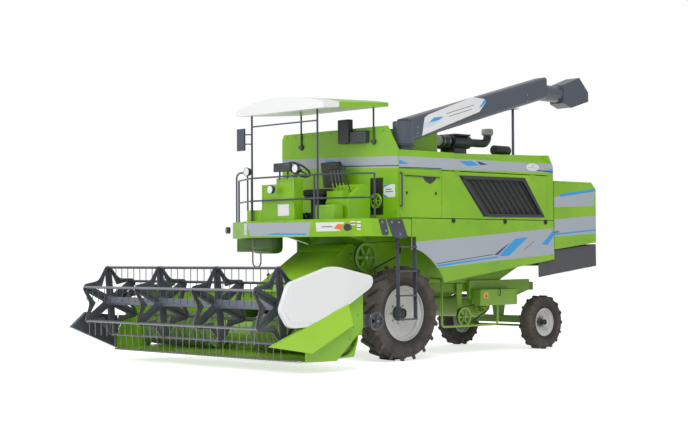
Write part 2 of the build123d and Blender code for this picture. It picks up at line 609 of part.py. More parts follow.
# ---------------------------------------------------------------- feeder house and header
HEAD_R = 220                 # round upper end of the feeder house
MOUTH = (340, 850)           # its mouth in the header's back wall, heights
with BuildPart() as feeder:
    slab([(PIVOT_Y, PIVOT_Z + HEAD_R), (PIVOT_Y, PIVOT_Z - HEAD_R), (BACK_Y + 14, 300), (BACK_Y + 14, 900)],
         -FEEDER_X, 2 * FEEDER_X)
    disc(-FEEDER_X, PIVOT_Y, PIVOT_Z, HEAD_R, 2 * FEEDER_X)
    slab([(PIVOT_Y - 20, PIVOT_Z + HEAD_R - 40), (PIVOT_Y - 20, PIVOT_Z - HEAD_R + 10), (BACK_Y, MOUTH[0]),
          (BACK_Y, MOUTH[1])], -FEEDER_X + 20, 2 * FEEDER_X - 40, Mode.SUBTRACT)
    for s in (1, -1):
        rod((s * FEEDER_X, PIVOT_Y, PIVOT_Z), (s * (FEEDER_X + 90), PIVOT_Y, PIVOT_Z), 50)
        # ears for the rod eyes
        for e in (-60, 36):
            slab([(-1850, 706), (-1640, 860), (-1700, 620), (-1780, 600)], s * RAM_X + e, 24)
        rod((s * RAM_X - 60, *RAM_HIGH), (s * RAM_X + 60, *RAM_HIGH), 19)
save(feeder, "feeder_house")

FLOOR_T = 14
with BuildPart() as header_frame:
    # trough: knife to back beam, with the round under the table auger
    with BuildSketch(Plane.YZ.offset(-HEADER_X - 10)):
        with BuildLine():
            r = AUGER_R + 16
            p0 = (KNIFE_Y, KNIFE_Z)
            p1 = (TROUGH_Y, TROUGH_Z - r)
            p2 = (TROUGH_Y + r, TROUGH_Z)
            p3 = (TROUGH_Y + r, 1060)
            Polyline(p0, p1)
            CenterArc((TROUGH_Y, TROUGH_Z), r, -90, 90)
            Polyline(p2, p3, (p3[0] - 50, 1085), (p3[0] - 50, 1100), (p3[0] + FLOOR_T, 1070),
                     (p2[0] + FLOOR_T, TROUGH_Z - 60), (p2[0] - 70, p1[1] - 14), (p0[0], KNIFE_Z - 14), p0)
        make_face()
    extrude(amount=2 * HEADER_X + 20)
    block((-FEEDER_X + 30, BACK_Y - 60, MOUTH[0]), (FEEDER_X - 30, BACK_Y + 60, MOUTH[1]), Mode.SUBTRACT)
    # end sheets
    for s in (1, -1):
        slab([(-3420, 165), (-2850, 160), (-2340, 600), (-2340, 1240), (-2520, 1240), (-3250, 720), (-3420, 400)],
             s * 2242 - 12, 24)
        rod((s * 2254, ARM_Y, ARM_Z), (s * 2120, ARM_Y, ARM_Z), 22)
        rod((s * 2235, *REEL_RAM_LOW), (s * 2182, *REEL_RAM_LOW), 11)
    # beams across the back
    bar((-HEADER_X, BACK_Y + 30, 1020), (HEADER_X, BACK_Y + 30, 1020), 90, 90)
    for s in (1, -1):
        bar((s * HEADER_X, BACK_Y + 30, 540), (s * (FEEDER_X + 10), BACK_Y + 30, 540), 90, 90)
save(header_frame, "header_frame")

GUARDS = 58
with BuildPart() as cutter_bar:
    block((-HEADER_X, KNIFE_Y - 60, KNIFE_Z - 10), (HEADER_X, KNIFE_Y - 2, KNIFE_Z + 6))
    pitch = 2 * HEADER_X / GUARDS
    with BuildSketch(Plane.XY.offset(KNIFE_Z - 16)):
        with Locations(*[(pitch * (k - (GUARDS - 1) / 2), KNIFE_Y - 90) for k in range(GUARDS)]):
            Trapezoid(32, 84, 80, rotation=180)
    extrude(amount=24)
save(cutter_bar, "cutter_bar")

with BuildPart() as divider_l:
    with BuildSketch(Plane.YZ.offset(2256)):
        with BuildLine():
            Polyline((-4100, 410), (-2690, 950), (-2600, 650), (-3370, 290), close=True)
        make_face()
    extrude(amount=HEADER_END - 2256)
save(divider_l, "divider_left")

with BuildPart() as divider_r:
    with BuildSketch(Plane.YZ.offset(-HEADER_END)):
        with BuildLine():
            Polyline((-4250, 540), (-3970, 770), (-3400, 700), (-3360, 170), close=True)
        make_face()
    extrude(amount=HEADER_END - 2256)
save(divider_r, "divider_right")

with BuildPart() as table_auger:
    rod((-HEADER_X + 50, TROUGH_Y, TROUGH_Z), (HEADER_X - 50, TROUGH_Y, TROUGH_Z), 150)
    flights = 14
    for k in range(flights):
        for s in (1, -1):
            x = s * (FEEDER_X + (HEADER_X - FEEDER_X - 60) * k / (flights - 1))
            disc(x - 4, TROUGH_Y, TROUGH_Z, AUGER_R, 8)
save(table_auger, "table_auger")

# ---------------------------------------------------------------- reel
with BuildPart() as reel_arms:
    for s in (1, -1):
        bar((s * ARM_X, ARM_Y + 60, ARM_Z), (s * ARM_X, REEL_Y - 60, REEL_Z), 50, 90)
        rod((s * ARM_X, *REEL_RAM_HIGH), (s * (REEL_RAM_X + 22), *REEL_RAM_HIGH), 11)
        disc(s * ARM_X - 40, ARM_Y, ARM_Z, 23, 80, Mode.SUBTRACT)
        disc(s * ARM_X - 40, REEL_Y, REEL_Z, 26, 80, Mode.SUBTRACT)
save(reel_arms, "reel_arms")

with BuildPart() as belt_cover:
    with BuildSketch(Plane.YZ.offset(2264)):
        with BuildLine():
            Polyline((-3960, 970), (-3800, 1130), (-3010, 1470), (-2300, 1380), (-2190, 1250), (-3620, 640),
                     (-3850, 680), close=True)
        make_face()
    extrude(amount=HEADER_END - 2264)
save(belt_cover, "belt_cover")

TINES = 26                   # on each of the six bars
with BuildPart() as reel:
    rod((-ARM_X - 60, REEL_Y, REEL_Z), (2260, REEL_Y, REEL_Z), 25)
    rod((-REEL_X, REEL_Y, REEL_Z), (REEL_X, REEL_Y, REEL_Z), 62)
    tips = []
    for k in range(6):
        a = radians(90 + REEL_PHASE + 60 * k)
        tips.append((REEL_Y + REEL_R * cos(a), REEL_Z + REEL_R * sin(a)))
    for x in (-REEL_X + 12, -REEL_X / 3, REEL_X / 3, REEL_X - 12):
        for k, (y, z) in enumerate(tips):
            bar((x, REEL_Y, REEL_Z), (x, y, z), 8, 60, (1, 0, 0))
            y2, z2 = tips[(k + 1) % 6]
            mid = (x, REEL_Y + (y + y2 - 2 * REEL_Y) * 0.4, REEL_Z + (z + z2 - 2 * REEL_Z) * 0.4)
            bar((x, y, z), mid, 8, 50, (1, 0, 0))
            bar(mid, (x, y2, z2), 8, 50, (1, 0, 0))
    for y, z in tips:
        rod((-REEL_X, y, z), (REEL_X, y, z), 20)
    spacing = (2 * REEL_X - 140) / (TINES - 1)
    with Locations(*[(spacing * (k - (TINES - 1) / 2), y, z - TINE / 2) for y, z in tips for k in range(TINES)]):
        Box(8, 8, TINE)
save(reel, "reel")

# ---------------------------------------------------------------- cylinders
# ram: barrel pin, rod pin, x, barrel radius, rod radius, barrel length, barrel hole, rod hole, eye radius, half-width
RAMS = {
    "lift": (RAM_LOW, RAM_HIGH, RAM_X, 48, 28, 640, 20, 26, 42, 30),
    "reel": (REEL_RAM_LOW, REEL_RAM_HIGH, REEL_RAM_X, 20, 11, 400, 12, 14, 23, 16),
}
for name, (low, high, ram_x, barrel_r, rod_r, barrel_l, pin_r, play_r, eye_r, half) in RAMS.items():
    along = Vector(0, high[0] - low[0], high[1] - low[1])
    reach = along.length
    along = along.normalized()
    with BuildPart() as barrels:
        for s in (1, -1):
            foot = Vector(s * ram_x, *low)
            rod(tuple(foot + along * (pin_r + 6)), tuple(foot + along * barrel_l), barrel_r)
            disc(s * ram_x - half, *low, eye_r, 2 * half)
            disc(s * ram_x - 2 * half, *low, pin_r, 4 * half, Mode.SUBTRACT)
            rod(tuple(foot + along * (pin_r + 60)), tuple(foot + along * (barrel_l + 10)), rod_r + 0.5,
                Mode.SUBTRACT)
    save(barrels, f"{name}_barrels")
    with BuildPart() as rods:
        for s in (1, -1):
            eye = Vector(s * ram_x, *high)
            rod(tuple(eye - along * (play_r + 4)), tuple(eye - along * (reach - barrel_l * 0.55)), rod_r)
            disc(s * ram_x - half + 2, *high, eye_r, 2 * half - 4)
            disc(s * ram_x - 2 * half, *high, play_r, 4 * half, Mode.SUBTRACT)
    save(rods, f"{name}_rods")
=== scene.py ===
"""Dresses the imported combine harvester: finishes for every part, and the pieces the solids leave out."""
import math

import bmesh
import bpy
from mathutils import Matrix, Vector


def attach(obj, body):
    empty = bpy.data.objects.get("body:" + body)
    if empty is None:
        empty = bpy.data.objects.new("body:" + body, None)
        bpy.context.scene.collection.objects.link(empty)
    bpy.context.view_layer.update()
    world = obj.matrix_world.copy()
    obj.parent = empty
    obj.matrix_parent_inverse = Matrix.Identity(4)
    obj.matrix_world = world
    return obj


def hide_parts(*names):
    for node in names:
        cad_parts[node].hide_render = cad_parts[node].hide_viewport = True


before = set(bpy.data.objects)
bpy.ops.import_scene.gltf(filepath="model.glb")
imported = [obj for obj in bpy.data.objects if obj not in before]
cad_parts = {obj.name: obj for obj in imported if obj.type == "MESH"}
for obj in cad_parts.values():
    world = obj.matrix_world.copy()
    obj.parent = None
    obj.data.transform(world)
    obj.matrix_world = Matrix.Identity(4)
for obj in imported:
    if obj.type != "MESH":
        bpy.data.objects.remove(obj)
bpy.ops.object.select_all(action="DESELECT")
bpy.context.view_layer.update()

# ---------------------------------------------------------------- camera
# A long lens at standing eye height, some 24 m off the machine's left front corner,
# so that the header and the left side both show; it looks up a little.
LENS = 78.254
CAMERA_AT = (17.502, -16.992, 1.62)
CAMERA_RIGHT = (0.683791, 0.729657, -0.005502)
CAMERA_UP = (0.019997, -0.011201, 0.999737)
CAMERA_AHEAD = (-0.729404, 0.683721, 0.02225)
bpy.ops.object.camera_add(location=CAMERA_AT)
camera = bpy.context.object
camera.rotation_euler = Matrix((CAMERA_RIGHT, CAMERA_UP, [-v for v in CAMERA_AHEAD])).transposed().to_euler()
camera.data.lens = LENS
camera.data.clip_end = 200
bpy.context.scene.camera = camera

# ---------------------------------------------------------------- floor and light
# A seamless pale studio floor under a white sky, a broad lamp over the camera's side
# and a weaker one from the front, as for a catalogue.
FLOOR_SIZE = 120
SKY_LIGHT = 0.62
FLOOR_GLOW = 0.62            # share of the floor's white that needs no light
WHITE = (1, 1, 1)


class Value:
    """What one socket gives. Sums written on it add Math nodes to its finish."""

    def __init__(self, finish, socket):
        self.finish = finish
        self.socket = socket

    def math(self, operation, *others, clamp=False):
        return self.finish.node("ShaderNodeMath", {"operation": operation, "use_clamp": clamp},
                                dict(enumerate((self, *others))))

    def __add__(self, other):
        return self.math("ADD", other)

    def __sub__(self, other):
        return self.math("SUBTRACT", other)

    def __rsub__(self, other):
        return self * -1 + other

    def __mul__(self, other):
        return self.math("MULTIPLY", other)

    def __or__(self, other):
        return self.math("MAXIMUM", other)

    def __and__(self, other):
        return self.math("MINIMUM", other)

    __radd__ = __add__
    __rmul__ = __mul__

    def above(self, level, blur=0.002):
        """1 where this is over level, 0 where it is under, changing over blur."""
        return (self - level).math("MULTIPLY_ADD", 1 / blur, 0.5, clamp=True)

    def between(self, low, high, blur=0.002):
        return self.above(low, blur) & (1 - self.above(high, blur))


class Finish:
    """A material in the making, with the places on the piece that its patterns read. Its tone
    is the colour so far, which over() paints on."""

    def __init__(self, name, slot=None, **constants):
        self.slot = slot             # the colour slot of the pieces that wear it
        self.material = bpy.data.materials.new(name)
        self.material.use_nodes = True
        self.tree = self.material.node_tree
        self.shader = self.tree.nodes["Principled BSDF"]
        self.place = self.node("ShaderNodeTexCoord", output=3)
        self.x, self.y, self.z = (self.node("ShaderNodeSeparateXYZ", {}, {0: self.place}, axis)
                                  for axis in range(3))
        self.set(**constants)

    @property
    def aside(self):
        """Distance from the machine's centre plane."""
        return self.x.math("ABSOLUTE")

    def feed(self, socket, value):
        if isinstance(value, Value):
            self.tree.links.new(value.socket, socket)
        elif socket.type == "RGBA":
            socket.default_value = (*value, 1)
        else:
            socket.default_value = value

    def node(self, kind, settings=(), values=(), output=0):
        node = self.tree.nodes.new(kind)
        for key, value in dict(settings).items():
            setattr(node, key, value)
        for key, value in dict(values).items():
            self.feed(node.inputs[key], value)
        return Value(self, node.outputs[output])

    def set(self, **sockets):
        """Feeds the shader: base_color=..., roughness=... and so on."""
        for key, value in sockets.items():
            name = key.replace("_", " ").title().replace("Ior", "IOR")
            self.feed(self.shader.inputs[name], value)
        return self

    def mix(self, mask, under, over):
        """The colour under, and over where mask is 1."""
        return self.node("ShaderNodeMix", {"data_type": "RGBA"}, {0: mask, 6: under, 7: over}, 2)

    def over(self, mask, colour):
        """Lays a colour over the finish's tone where mask is 1."""
        self.tone = self.mix(mask, self.tone, colour)
        self.set(base_color=self.tone)

    def noise(self, scale, detail=2.0, stretch=None):
        where = self.place
        if stretch:
            where = self.node("ShaderNodeMapping", {}, {"Vector": where, "Scale": stretch})
        return self.node("ShaderNodeTexNoise", {}, {"Vector": where, "Scale": scale, "Detail": detail})

    def bump(self, height, distance):
        """Raises the surface by height times distance, in metres."""
        self.set(normal=self.node("ShaderNodeBump", {}, {"Height": height, "Distance": distance}))


def dress(finish, *nodes):
    """Gives solids of the machine their finish."""
    for name in nodes:
        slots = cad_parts[name].data.materials
        slots.clear()
        slots.append(finish.material)


bpy.ops.mesh.primitive_plane_add(size=FLOOR_SIZE)
floor = bpy.context.object
floor.name = "floor"
bpy.ops.object.mode_set(mode="EDIT")
bpy.ops.mesh.subdivide(number_cuts=3)
bpy.ops.object.mode_set(mode="OBJECT")
studio_floor = Finish("studio floor", roughness=0.9, emission_strength=1)
grain = studio_floor.noise(0.6, 3)
studio_floor.set(base_color=studio_floor.mix(grain, (0.86, 0.86, 0.86), (0.9, 0.9, 0.9)))
rays = [studio_floor.node("ShaderNodeLightPath", output=o) for o in ("Is Camera Ray", "Is Glossy Ray")]
studio_floor.set(emission_color=studio_floor.mix((rays[0] | rays[1]) * FLOOR_GLOW, (0, 0, 0), WHITE))
floor.data.materials.append(studio_floor.material)

world = bpy.data.worlds.new("white sky")
bpy.context.scene.world = world
world.use_nodes = True
sky = world.node_tree.nodes["Background"]
path = world.node_tree.nodes.new("ShaderNodeLightPath")
seen = world.node_tree.nodes.new("ShaderNodeMath")
seen.operation = "MULTIPLY_ADD"
seen.inputs[1].default_value = 1 - SKY_LIGHT
seen.inputs[2].default_value = SKY_LIGHT
world.node_tree.links.new(path.outputs["Is Camera Ray"], seen.inputs[0])
world.node_tree.links.new(seen.outputs[0], sky.inputs["Strength"])
sky.inputs["Color"].default_value = (*WHITE, 1)

# lamp: where it is, what it points at, size, watts
for spot, aim, size, watts in (((9, -9, 15), (0, -0.5, 1.6), 9, 1500),
                               ((-7, -14, 7), (0, -1, 1.5), 8, 520)):
    bpy.ops.object.light_add(type="AREA", location=spot)
    lamp = bpy.context.object
    lamp.data.shape = "DISK"
    lamp.data.size = size
    lamp.data.energy = watts
    lamp.rotation_euler = (Vector(spot) - Vector(aim)).to_track_quat("Z", "Y").to_euler()
bpy.context.scene.view_settings.view_transform = "Standard"

# ---------------------------------------------------------------- chassis, axles and frames
# Welded rails, axles and frames in the machine's lime enamel, duller and dustier low down
# than the panels are, and in a darker lime that is painted shade under the body.
LIME = (0.27, 0.55, 0.012)
LIME_DEEP = (0.19, 0.43, 0.008)
SLATE = (0.062, 0.077, 0.103)
SLATE_DEEP = (0.035, 0.044, 0.06)
SILVER = (0.40, 0.44, 0.49)
BLUE = (0.03, 0.33, 0.74)
NAVY = (0.03, 0.06, 0.14)
DUST = (0.33, 0.29, 0.21)
GRAPHITE = (0.02, 0.022, 0.026)


def enamel(name, light, deep, gloss=0.3, dust=0.25, coat=0.3, dust_top=1.6, slot="green_paint"):
    """Sprayed enamel: tone drifts over a sheet, with faint ripples, and dust low down."""
    finish = Finish(name, slot, coat_roughness=0.1, coat_weight=coat, specular_ior_level=0.35)
    drift = finish.noise(1.1, 3)
    tone = finish.mix(drift.above(0.5, 0.5), deep, light)
    low = (dust_top - finish.z).math("MULTIPLY", 0.6, clamp=True)
    dirt = (low * finish.noise(7, 5)).math("MULTIPLY", dust * 2, clamp=True)
    finish.tone = finish.mix(dirt, tone, DUST)
    finish.set(base_color=finish.tone, roughness=drift * 0.08 + dirt * 0.4 + gloss)
    finish.bump(finish.noise(160, 2), 0.0006)
    return finish


def mottled(name, slot, dark, light, grain, rough, relief=None, **constants):
    """A plain finish that wanders between two colours and roughnesses, with a fine relief."""
    finish = Finish(name, slot, **constants)
    drift = finish.noise(*grain)
    finish.set(base_color=finish.mix(drift, dark, light), roughness=drift * (rough[1] - rough[0]) + rough[0])
    if relief:
        scale, detail, height = relief
        finish.bump(finish.noise(scale, detail), height)
    return finish


def select(obj, choose):
    """In edit mode, selects the faces for which choose(centre, normal) holds."""
    bpy.ops.object.mode_set(mode="EDIT")
    bpy.ops.mesh.select_mode(type="FACE")
    bpy.ops.mesh.select_all(action="DESELECT")
    mesh = bmesh.from_edit_mesh(obj.data)
    for face in mesh.faces:
        face.select_set(bool(choose(face.calc_center_median(), face.normal)))
    bmesh.update_edit_mesh(obj.data)


def select_side(obj, ahead, least=0.9, both=False):
    """In edit mode, selects the faces that look ahead, and with both also those that look back."""
    ahead = Vector(ahead)
    select(obj, lambda centre, normal: (abs(normal.dot(ahead)) if both else normal.dot(ahead)) > least)


def whole(by=None):
    """In edit mode, selects all of the piece, by faces, edges or vertices."""
    bpy.ops.object.mode_set(mode="EDIT")
    if by:
        bpy.ops.mesh.select_mode(type=by)
    bpy.ops.mesh.select_all(action="SELECT")


def push(step):
    """Extrudes what is selected by a step."""
    bpy.ops.mesh.extrude_region_move(TRANSFORM_OT_translate={"value": step})


def smooth():
    """Ends the editing, with soft shading on all but the sharp edges."""
    bpy.ops.object.mode_set(mode="OBJECT")
    bpy.ops.object.shade_smooth_by_angle()


def modify(obj, kind, **settings):
    """Gives a piece a modifier and applies it."""
    modifier = obj.modifiers.new(kind.lower(), kind)
    for key, value in settings.items():
        setattr(modifier, key, value)
    bpy.ops.object.modifier_apply(modifier=modifier.name)


def join(pieces):
    """Makes one object of several, named and placed as the first."""
    bpy.ops.object.select_all(action="DESELECT")
    for piece in pieces:
        piece.select_set(True)
    bpy.context.view_layer.objects.active = pieces[0]
    bpy.ops.object.join()
    return bpy.context.object


def block(size, at=(0, 0, 0)):
    """A box of a size, centred on a point."""
    bpy.ops.mesh.primitive_cube_add(size=1, location=at, scale=size)
    bpy.ops.object.transform_apply()
    return bpy.context.object


def disc(radius, depth, at=(0, 0, 0), vertices=32, turn=(0, 0, 0)):
    """A cylinder centred on a point, upright unless it is turned."""
    bpy.ops.mesh.primitive_cylinder_add(vertices=vertices, radius=radius, depth=depth, location=at,
                                        rotation=turn)
    return bpy.context.object


def settle(obj, name, finish, body="root"):
    """Settles a finished piece: its place goes into its mesh, and it rides on its body."""
    if obj.mode == "EDIT":
        bpy.ops.object.mode_set(mode="OBJECT")
    bpy.ops.object.transform_apply()
    obj.name = obj.data.name = name
    obj.data.materials.clear()
    obj.data.materials.append(finish.material)
    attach(obj, body)
    obj.select_set(False)
    return obj


def repeat(obj, spots):
    """Copies a shape made at the origin to every spot, a point or a matrix, and joins them."""
    bpy.ops.object.mode_set(mode="OBJECT")
    bpy.ops.object.transform_apply()
    copies = []
    for spot in spots:
        bpy.ops.object.select_all(action="DESELECT")
        obj.select_set(True)
        bpy.context.view_layer.objects.active = obj
        bpy.ops.object.duplicate()
        copy = bpy.context.object
        copy.matrix_world = spot if isinstance(spot, Matrix) else Matrix.Translation(spot)
        copies.append(copy)
    bpy.data.objects.remove(obj)
    return join(copies)


def facing(point, ahead):
    """A spot whose Z points ahead, for a shape modelled lying on the floor."""
    return Matrix.Translation(point) @ Vector(ahead).to_track_quat("Z", "Y").to_matrix().to_4x4()


def skin(node, start, ahead):
    """Where a line meets a solid of the machine, and the way its surface faces there."""
    hit, point, normal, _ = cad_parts[node].ray_cast(Vector(start), Vector(ahead))
    if not hit:
        raise ValueError(f"nothing of {node} ahead of {start}")
    return point, normal


def bolt_head(radius=0.014, height=0.009):
    """A hexagon head on its washer, standing on the origin."""
    head = disc(radius * 1.35, height * 0.4, (0, 0, height * 0.2), 6)
    select_side(head, UP)
    bpy.ops.mesh.inset(thickness=radius * 0.35)
    push((0, 0, height * 0.8))
    bpy.ops.mesh.bevel(offset=radius * 0.12, segments=1)
    return head


LEFT, RIGHT, FORWARD, BACKWARD, UP = (1, 0, 0), (-1, 0, 0), (0, -1, 0), (0, 1, 0), (0, 0, 1)
ACROSS, ALONG = (0, math.pi / 2, 0), (math.pi / 2, 0, 0)    # turns that lay a Z axis down
SIDES = (1, "left", LEFT, RIGHT), (-1, "right", RIGHT, LEFT)    # sign, name, outward, inward
BESIDE, OUTSIDE = 2, 3       # X beside the body and beyond the header: lines that look inward start there
black_enamel = mottled("black enamel", "black_parts", (0.012, 0.013, 0.015), (0.035, 0.037, 0.042),
                       (50, 4), (0.4, 0.6), (300, 2, 0.0003), coat_weight=0.1)
zinc = mottled("zinc plating", "bright_steel", (0.22, 0.22, 0.21), (0.42, 0.41, 0.38),
               (60, 3), (0.3, 0.6), metallic=0.7)


def bolts(name, node, starts, ahead, finish=zinc, body="root", radius=0.012):
    """A row of bolts on a solid's surface, met from each start on the way ahead."""
    spots = [facing(*skin(node, start, ahead)) for start in starts]
    settle(repeat(bolt_head(radius), spots), name, finish, body)


def cut_plate(corners, back, ahead, thick=0.003, edge=0.0, corner=0.0, across="y"):
    """A sheet cut to a convex outline of (across, z), with its back at back and its face ahead."""
    spread = [a for a, _ in corners]
    heights = [z for _, z in corners]
    middle = (sum(spread) / len(corners), sum(heights) / len(corners))
    at = (back, *middle) if across == "y" else (middle[0], back, middle[1])
    turn = ACROSS if across == "y" else ALONG
    size = 2 * max(max(spread) - min(spread), max(heights) - min(heights))
    bpy.ops.mesh.primitive_plane_add(size=size, location=at, rotation=turn)
    sheet = bpy.context.object
    bpy.ops.object.transform_apply()
    bpy.ops.object.mode_set(mode="EDIT")
    for (a, az), (b, bz) in zip(corners, corners[1:] + corners[:1]):
        out, up = bz - az, a - b
        if out * (a - middle[0]) + up * (az - middle[1]) < 0:
            out, up = -out, -up
        whole()
        co, no = ((back, a, az), (0, out, up)) if across == "y" else ((a, back, az), (out, 0, up))
        bpy.ops.mesh.bisect(plane_co=co, plane_no=no, clear_outer=True)
    whole()
    if corner:
        bpy.ops.mesh.bevel(offset=corner, segments=5, affect="VERTICES")
    push([v * thick for v in ahead])
    whole()
    bpy.ops.mesh.normals_make_consistent(inside=False)
    if edge:
        select_side(sheet, ahead, 0.99)
        bpy.ops.mesh.bevel(offset=edge, segments=2)
    bpy.ops.object.mode_set(mode="OBJECT")
    return sheet


def oblong(a0, z0, a1, z1):
    """An upright rectangle of (across, z) from corner to corner, for plates and patches."""
    return [(a0, z0), (a1, z0), (a1, z1), (a0, z1)]


def spaced(first, last, count):
    """Points evenly spaced on a line, its ends included."""
    return [Vector(first).lerp(Vector(last), k / (count - 1)) for k in range(count)]


def cabinet(low, high, edge=0.012, lid=None):
    """A folded sheet box with softened edges, and a sunken panel on the side that lid faces."""
    box = block(Vector(high) - Vector(low), (Vector(low) + Vector(high)) / 2)
    whole()
    bpy.ops.mesh.bevel(offset=edge, segments=3)
    if lid:
        select_side(box, lid, 0.999)
        bpy.ops.mesh.inset(thickness=0.02)
        bpy.ops.mesh.inset(thickness=0.005)
        push([-v * 0.004 for v in lid])
    smooth()
    return box


def pipe(points, radius, bend=0.03):
    """A tube with rounded bends: an edge drawn from point to point, made a curve with a thickness."""
    bpy.ops.mesh.primitive_plane_add(size=0.01, location=points[0])
    line = bpy.context.object
    whole("VERT")
    bpy.ops.mesh.merge(type="CENTER")
    for before, after in zip(points, points[1:]):
        push(Vector(after) - Vector(before))
    if len(points) > 2 and bend:
        mesh = bmesh.from_edit_mesh(line.data)
        for vertex in mesh.verts:
            vertex.select_set(len(vertex.link_edges) == 2)
        bmesh.update_edit_mesh(line.data)
        bpy.ops.mesh.bevel(offset=bend, segments=6, affect="VERTICES")
    bpy.ops.object.mode_set(mode="OBJECT")
    bpy.ops.object.convert(target="CURVE")
    line = bpy.context.object
    line.data.bevel_depth = radius
    line.data.bevel_resolution = 3
    line.data.use_fill_caps = True
    bpy.ops.object.convert(target="MESH")
    smooth()
    return bpy.context.object


def spoked_wheel(radius, width, spokes, hub):
    """A cast belt pulley lying on the origin: grooved rim, straight spokes and a bossed hub."""
    bpy.ops.mesh.primitive_circle_add(vertices=56, radius=radius)
    rim = bpy.context.object
    whole("VERT")
    # a share of the width to rise by, and a scale: into the groove, out of it, then the inside
    for rise, size in ((0.3, 0.93), (0.4, 1 / 0.93), (0.3, 1), (0, 0.8), (-1, 1), (0, 1.25)):
        push((0, 0, width * rise))
        bpy.ops.transform.resize(value=(size, size, 1))
    whole()
    bpy.ops.mesh.remove_doubles(threshold=0.0005)
    bpy.ops.mesh.normals_make_consistent(inside=False)
    bpy.ops.object.mode_set(mode="OBJECT")
    boss = disc(hub, width * 1.5, (0, 0, width / 2), 28)
    select_side(boss, UP, both=True)
    bpy.ops.mesh.bevel(offset=hub * 0.12, segments=2)
    bpy.ops.mesh.inset(thickness=hub * 0.35)
    push((0, 0, 0))
    bpy.ops.object.mode_set(mode="OBJECT")
    arms = []
    reach = (radius * 0.82 + hub) / 2
    for k in range(spokes):
        arm = block((radius * 0.82 - hub * 0.7, radius * 0.2, width * 0.5), (reach, 0, width / 2))
        whole()
        bpy.ops.mesh.bevel(offset=width * 0.12, segments=2)
        bpy.ops.object.mode_set(mode="OBJECT")
        arm.data.transform(Matrix.Rotation(2 * math.pi * k / spokes, 4, "Z"))
        arms.append(arm)
    join([rim, boss, *arms])
    smooth()
    return rim


def pulley(name, at, ahead, radius, width, spokes, hub, finish, body="root"):
    """A spoked wheel whose back is at a point and whose face looks ahead."""
    settle(repeat(spoked_wheel(radius, width, spokes, hub), [facing(at, ahead)]), name, finish, body)


def belt(wheels, x, width, thick=0.010):
    """A belt round pulleys given as (y, z, radius): the hull of their discs, its ends opened."""
    band = join([disc(radius, width, (x, y, z), 48, ACROSS) for y, z, radius in wheels])
    bpy.ops.object.transform_apply()
    whole()
    bpy.ops.mesh.convex_hull()
    select_side(band, LEFT, both=True)
    bpy.ops.mesh.delete(type="FACE")
    bpy.ops.object.mode_set(mode="OBJECT")
    modify(band, "SOLIDIFY", thickness=thick, offset=1)
    smooth()
    return band


# a darker copy of the lime enamel: painted shade under the body, with real dust low down
shaded_chassis_enamel = enamel("shaded chassis enamel", LIME_DEEP, (0.12, 0.30, 0.008), 0.42, 0.4, 0.1)
dress(shaded_chassis_enamel, "chassis_frame", "front_axle", "rear_axle", "knuckle_l", "knuckle_r",
      "tie_rod", "side_frames", "tow_hitch")
for s, side, *_ in SIDES:
    bolts(f"axle_bolts_{side}", "front_axle",
          [(s * x, -1.5, z) for x in (0.76, 0.86) for z in (0.66, 0.80)], BACKWARD, radius=0.018)

# ---------------------------------------------------------------- wheels
# Lug tyres on pressed steel rims: dark rubber, browned with field dust between the lugs,
# and off-white rims with a dark bolted hub.
RUBBER = (0.03, 0.028, 0.027)
CLAY = (0.17, 0.145, 0.12)
RIM_WHITE = (0.62, 0.62, 0.60)
# end: the axle's Y, its height and so the tyre's radius, and the radii of the rim, the dark
# disc in it, the hub cap and the nuts' circle
WHEELS = {"f": (-0.6, 0.73, 0.425, 0.12, 0.075, 0.155), "r": (3.16, 0.46, 0.24, 0.08, 0.045, 0.095)}


def radius_about(finish, y, z):
    """Distance from an axle that runs across the machine."""
    a, b = finish.y - y, finish.z - z
    return (a * a + b * b).math("SQRT")


for end, (axle_y, radius, rim_r, hub_r, cap_r, circle) in WHEELS.items():
    tread = Finish(f"tyre rubber {end}", roughness=0.85)
    r = radius_about(tread, axle_y, radius)
    dusty = (tread.noise(5, 6) * 0.75 + tread.noise(38, 2) * 0.35).above(0.52, 0.4)
    tread.set(base_color=tread.mix(dusty * r.above(rim_r + 0.08, 0.12) * 0.55, RUBBER, CLAY))
    rings = (r * 210).math("SINE") * r.between(rim_r + 0.02, rim_r + 0.12, 0.01)
    tread.bump(rings * 0.3 + tread.noise(70, 4), 0.003)
    painted = Finish(f"rim paint {end}", coat_weight=0.15, coat_roughness=0.2)
    q = radius_about(painted, axle_y, radius)
    soil = (painted.noise(4, 5) * 0.6 + painted.noise(30, 3) * 0.4).above(0.55, 0.35)
    grey = painted.mix(soil * 0.4, RIM_WHITE, (0.36, 0.34, 0.30))
    painted.set(base_color=painted.mix(q.above(hub_r, 0.004), (0.05, 0.052, 0.05), grey),
                roughness=soil * 0.2 + 0.42)
    painted.bump(painted.noise(90, 3), 0.0008)
    for side, ahead, inward in (("l", LEFT, RIGHT), ("r", RIGHT, LEFT)):
        dress(tread, f"tyre_{end}{side}")
        dress(painted, f"rim_{end}{side}")
        outside = ahead[0] * OUTSIDE
        face = skin(f"rim_{end}{side}", (outside, axle_y + circle, radius), inward)[0].x
        nuts = [facing((face, axle_y + circle * math.cos(a), radius + circle * math.sin(a)), ahead)
                for a in [math.tau * k / 8 for k in range(8)]]
        settle(repeat(bolt_head(0.017), nuts), f"wheel_nuts_{end}{side}", zinc, f"wheel_{end}{side}")
        hub = "front_axle" if end == "f" else f"knuckle_{side}"
        end_x = skin(hub, (outside, axle_y, radius), inward)[0].x
        cap = disc(cap_r, 0.07, (0, 0, -0.01))
        select_side(cap, UP)
        bpy.ops.mesh.bevel(offset=cap_r * 0.2, segments=3)
        bpy.ops.mesh.inset(thickness=cap_r * 0.25)
        push((0, 0, 0.012))
        smooth()
        settle(repeat(cap, [facing((end_x, axle_y, radius), ahead)]), f"hub_cap_{end}{side}",
               black_enamel, f"wheel_{end}{side}")

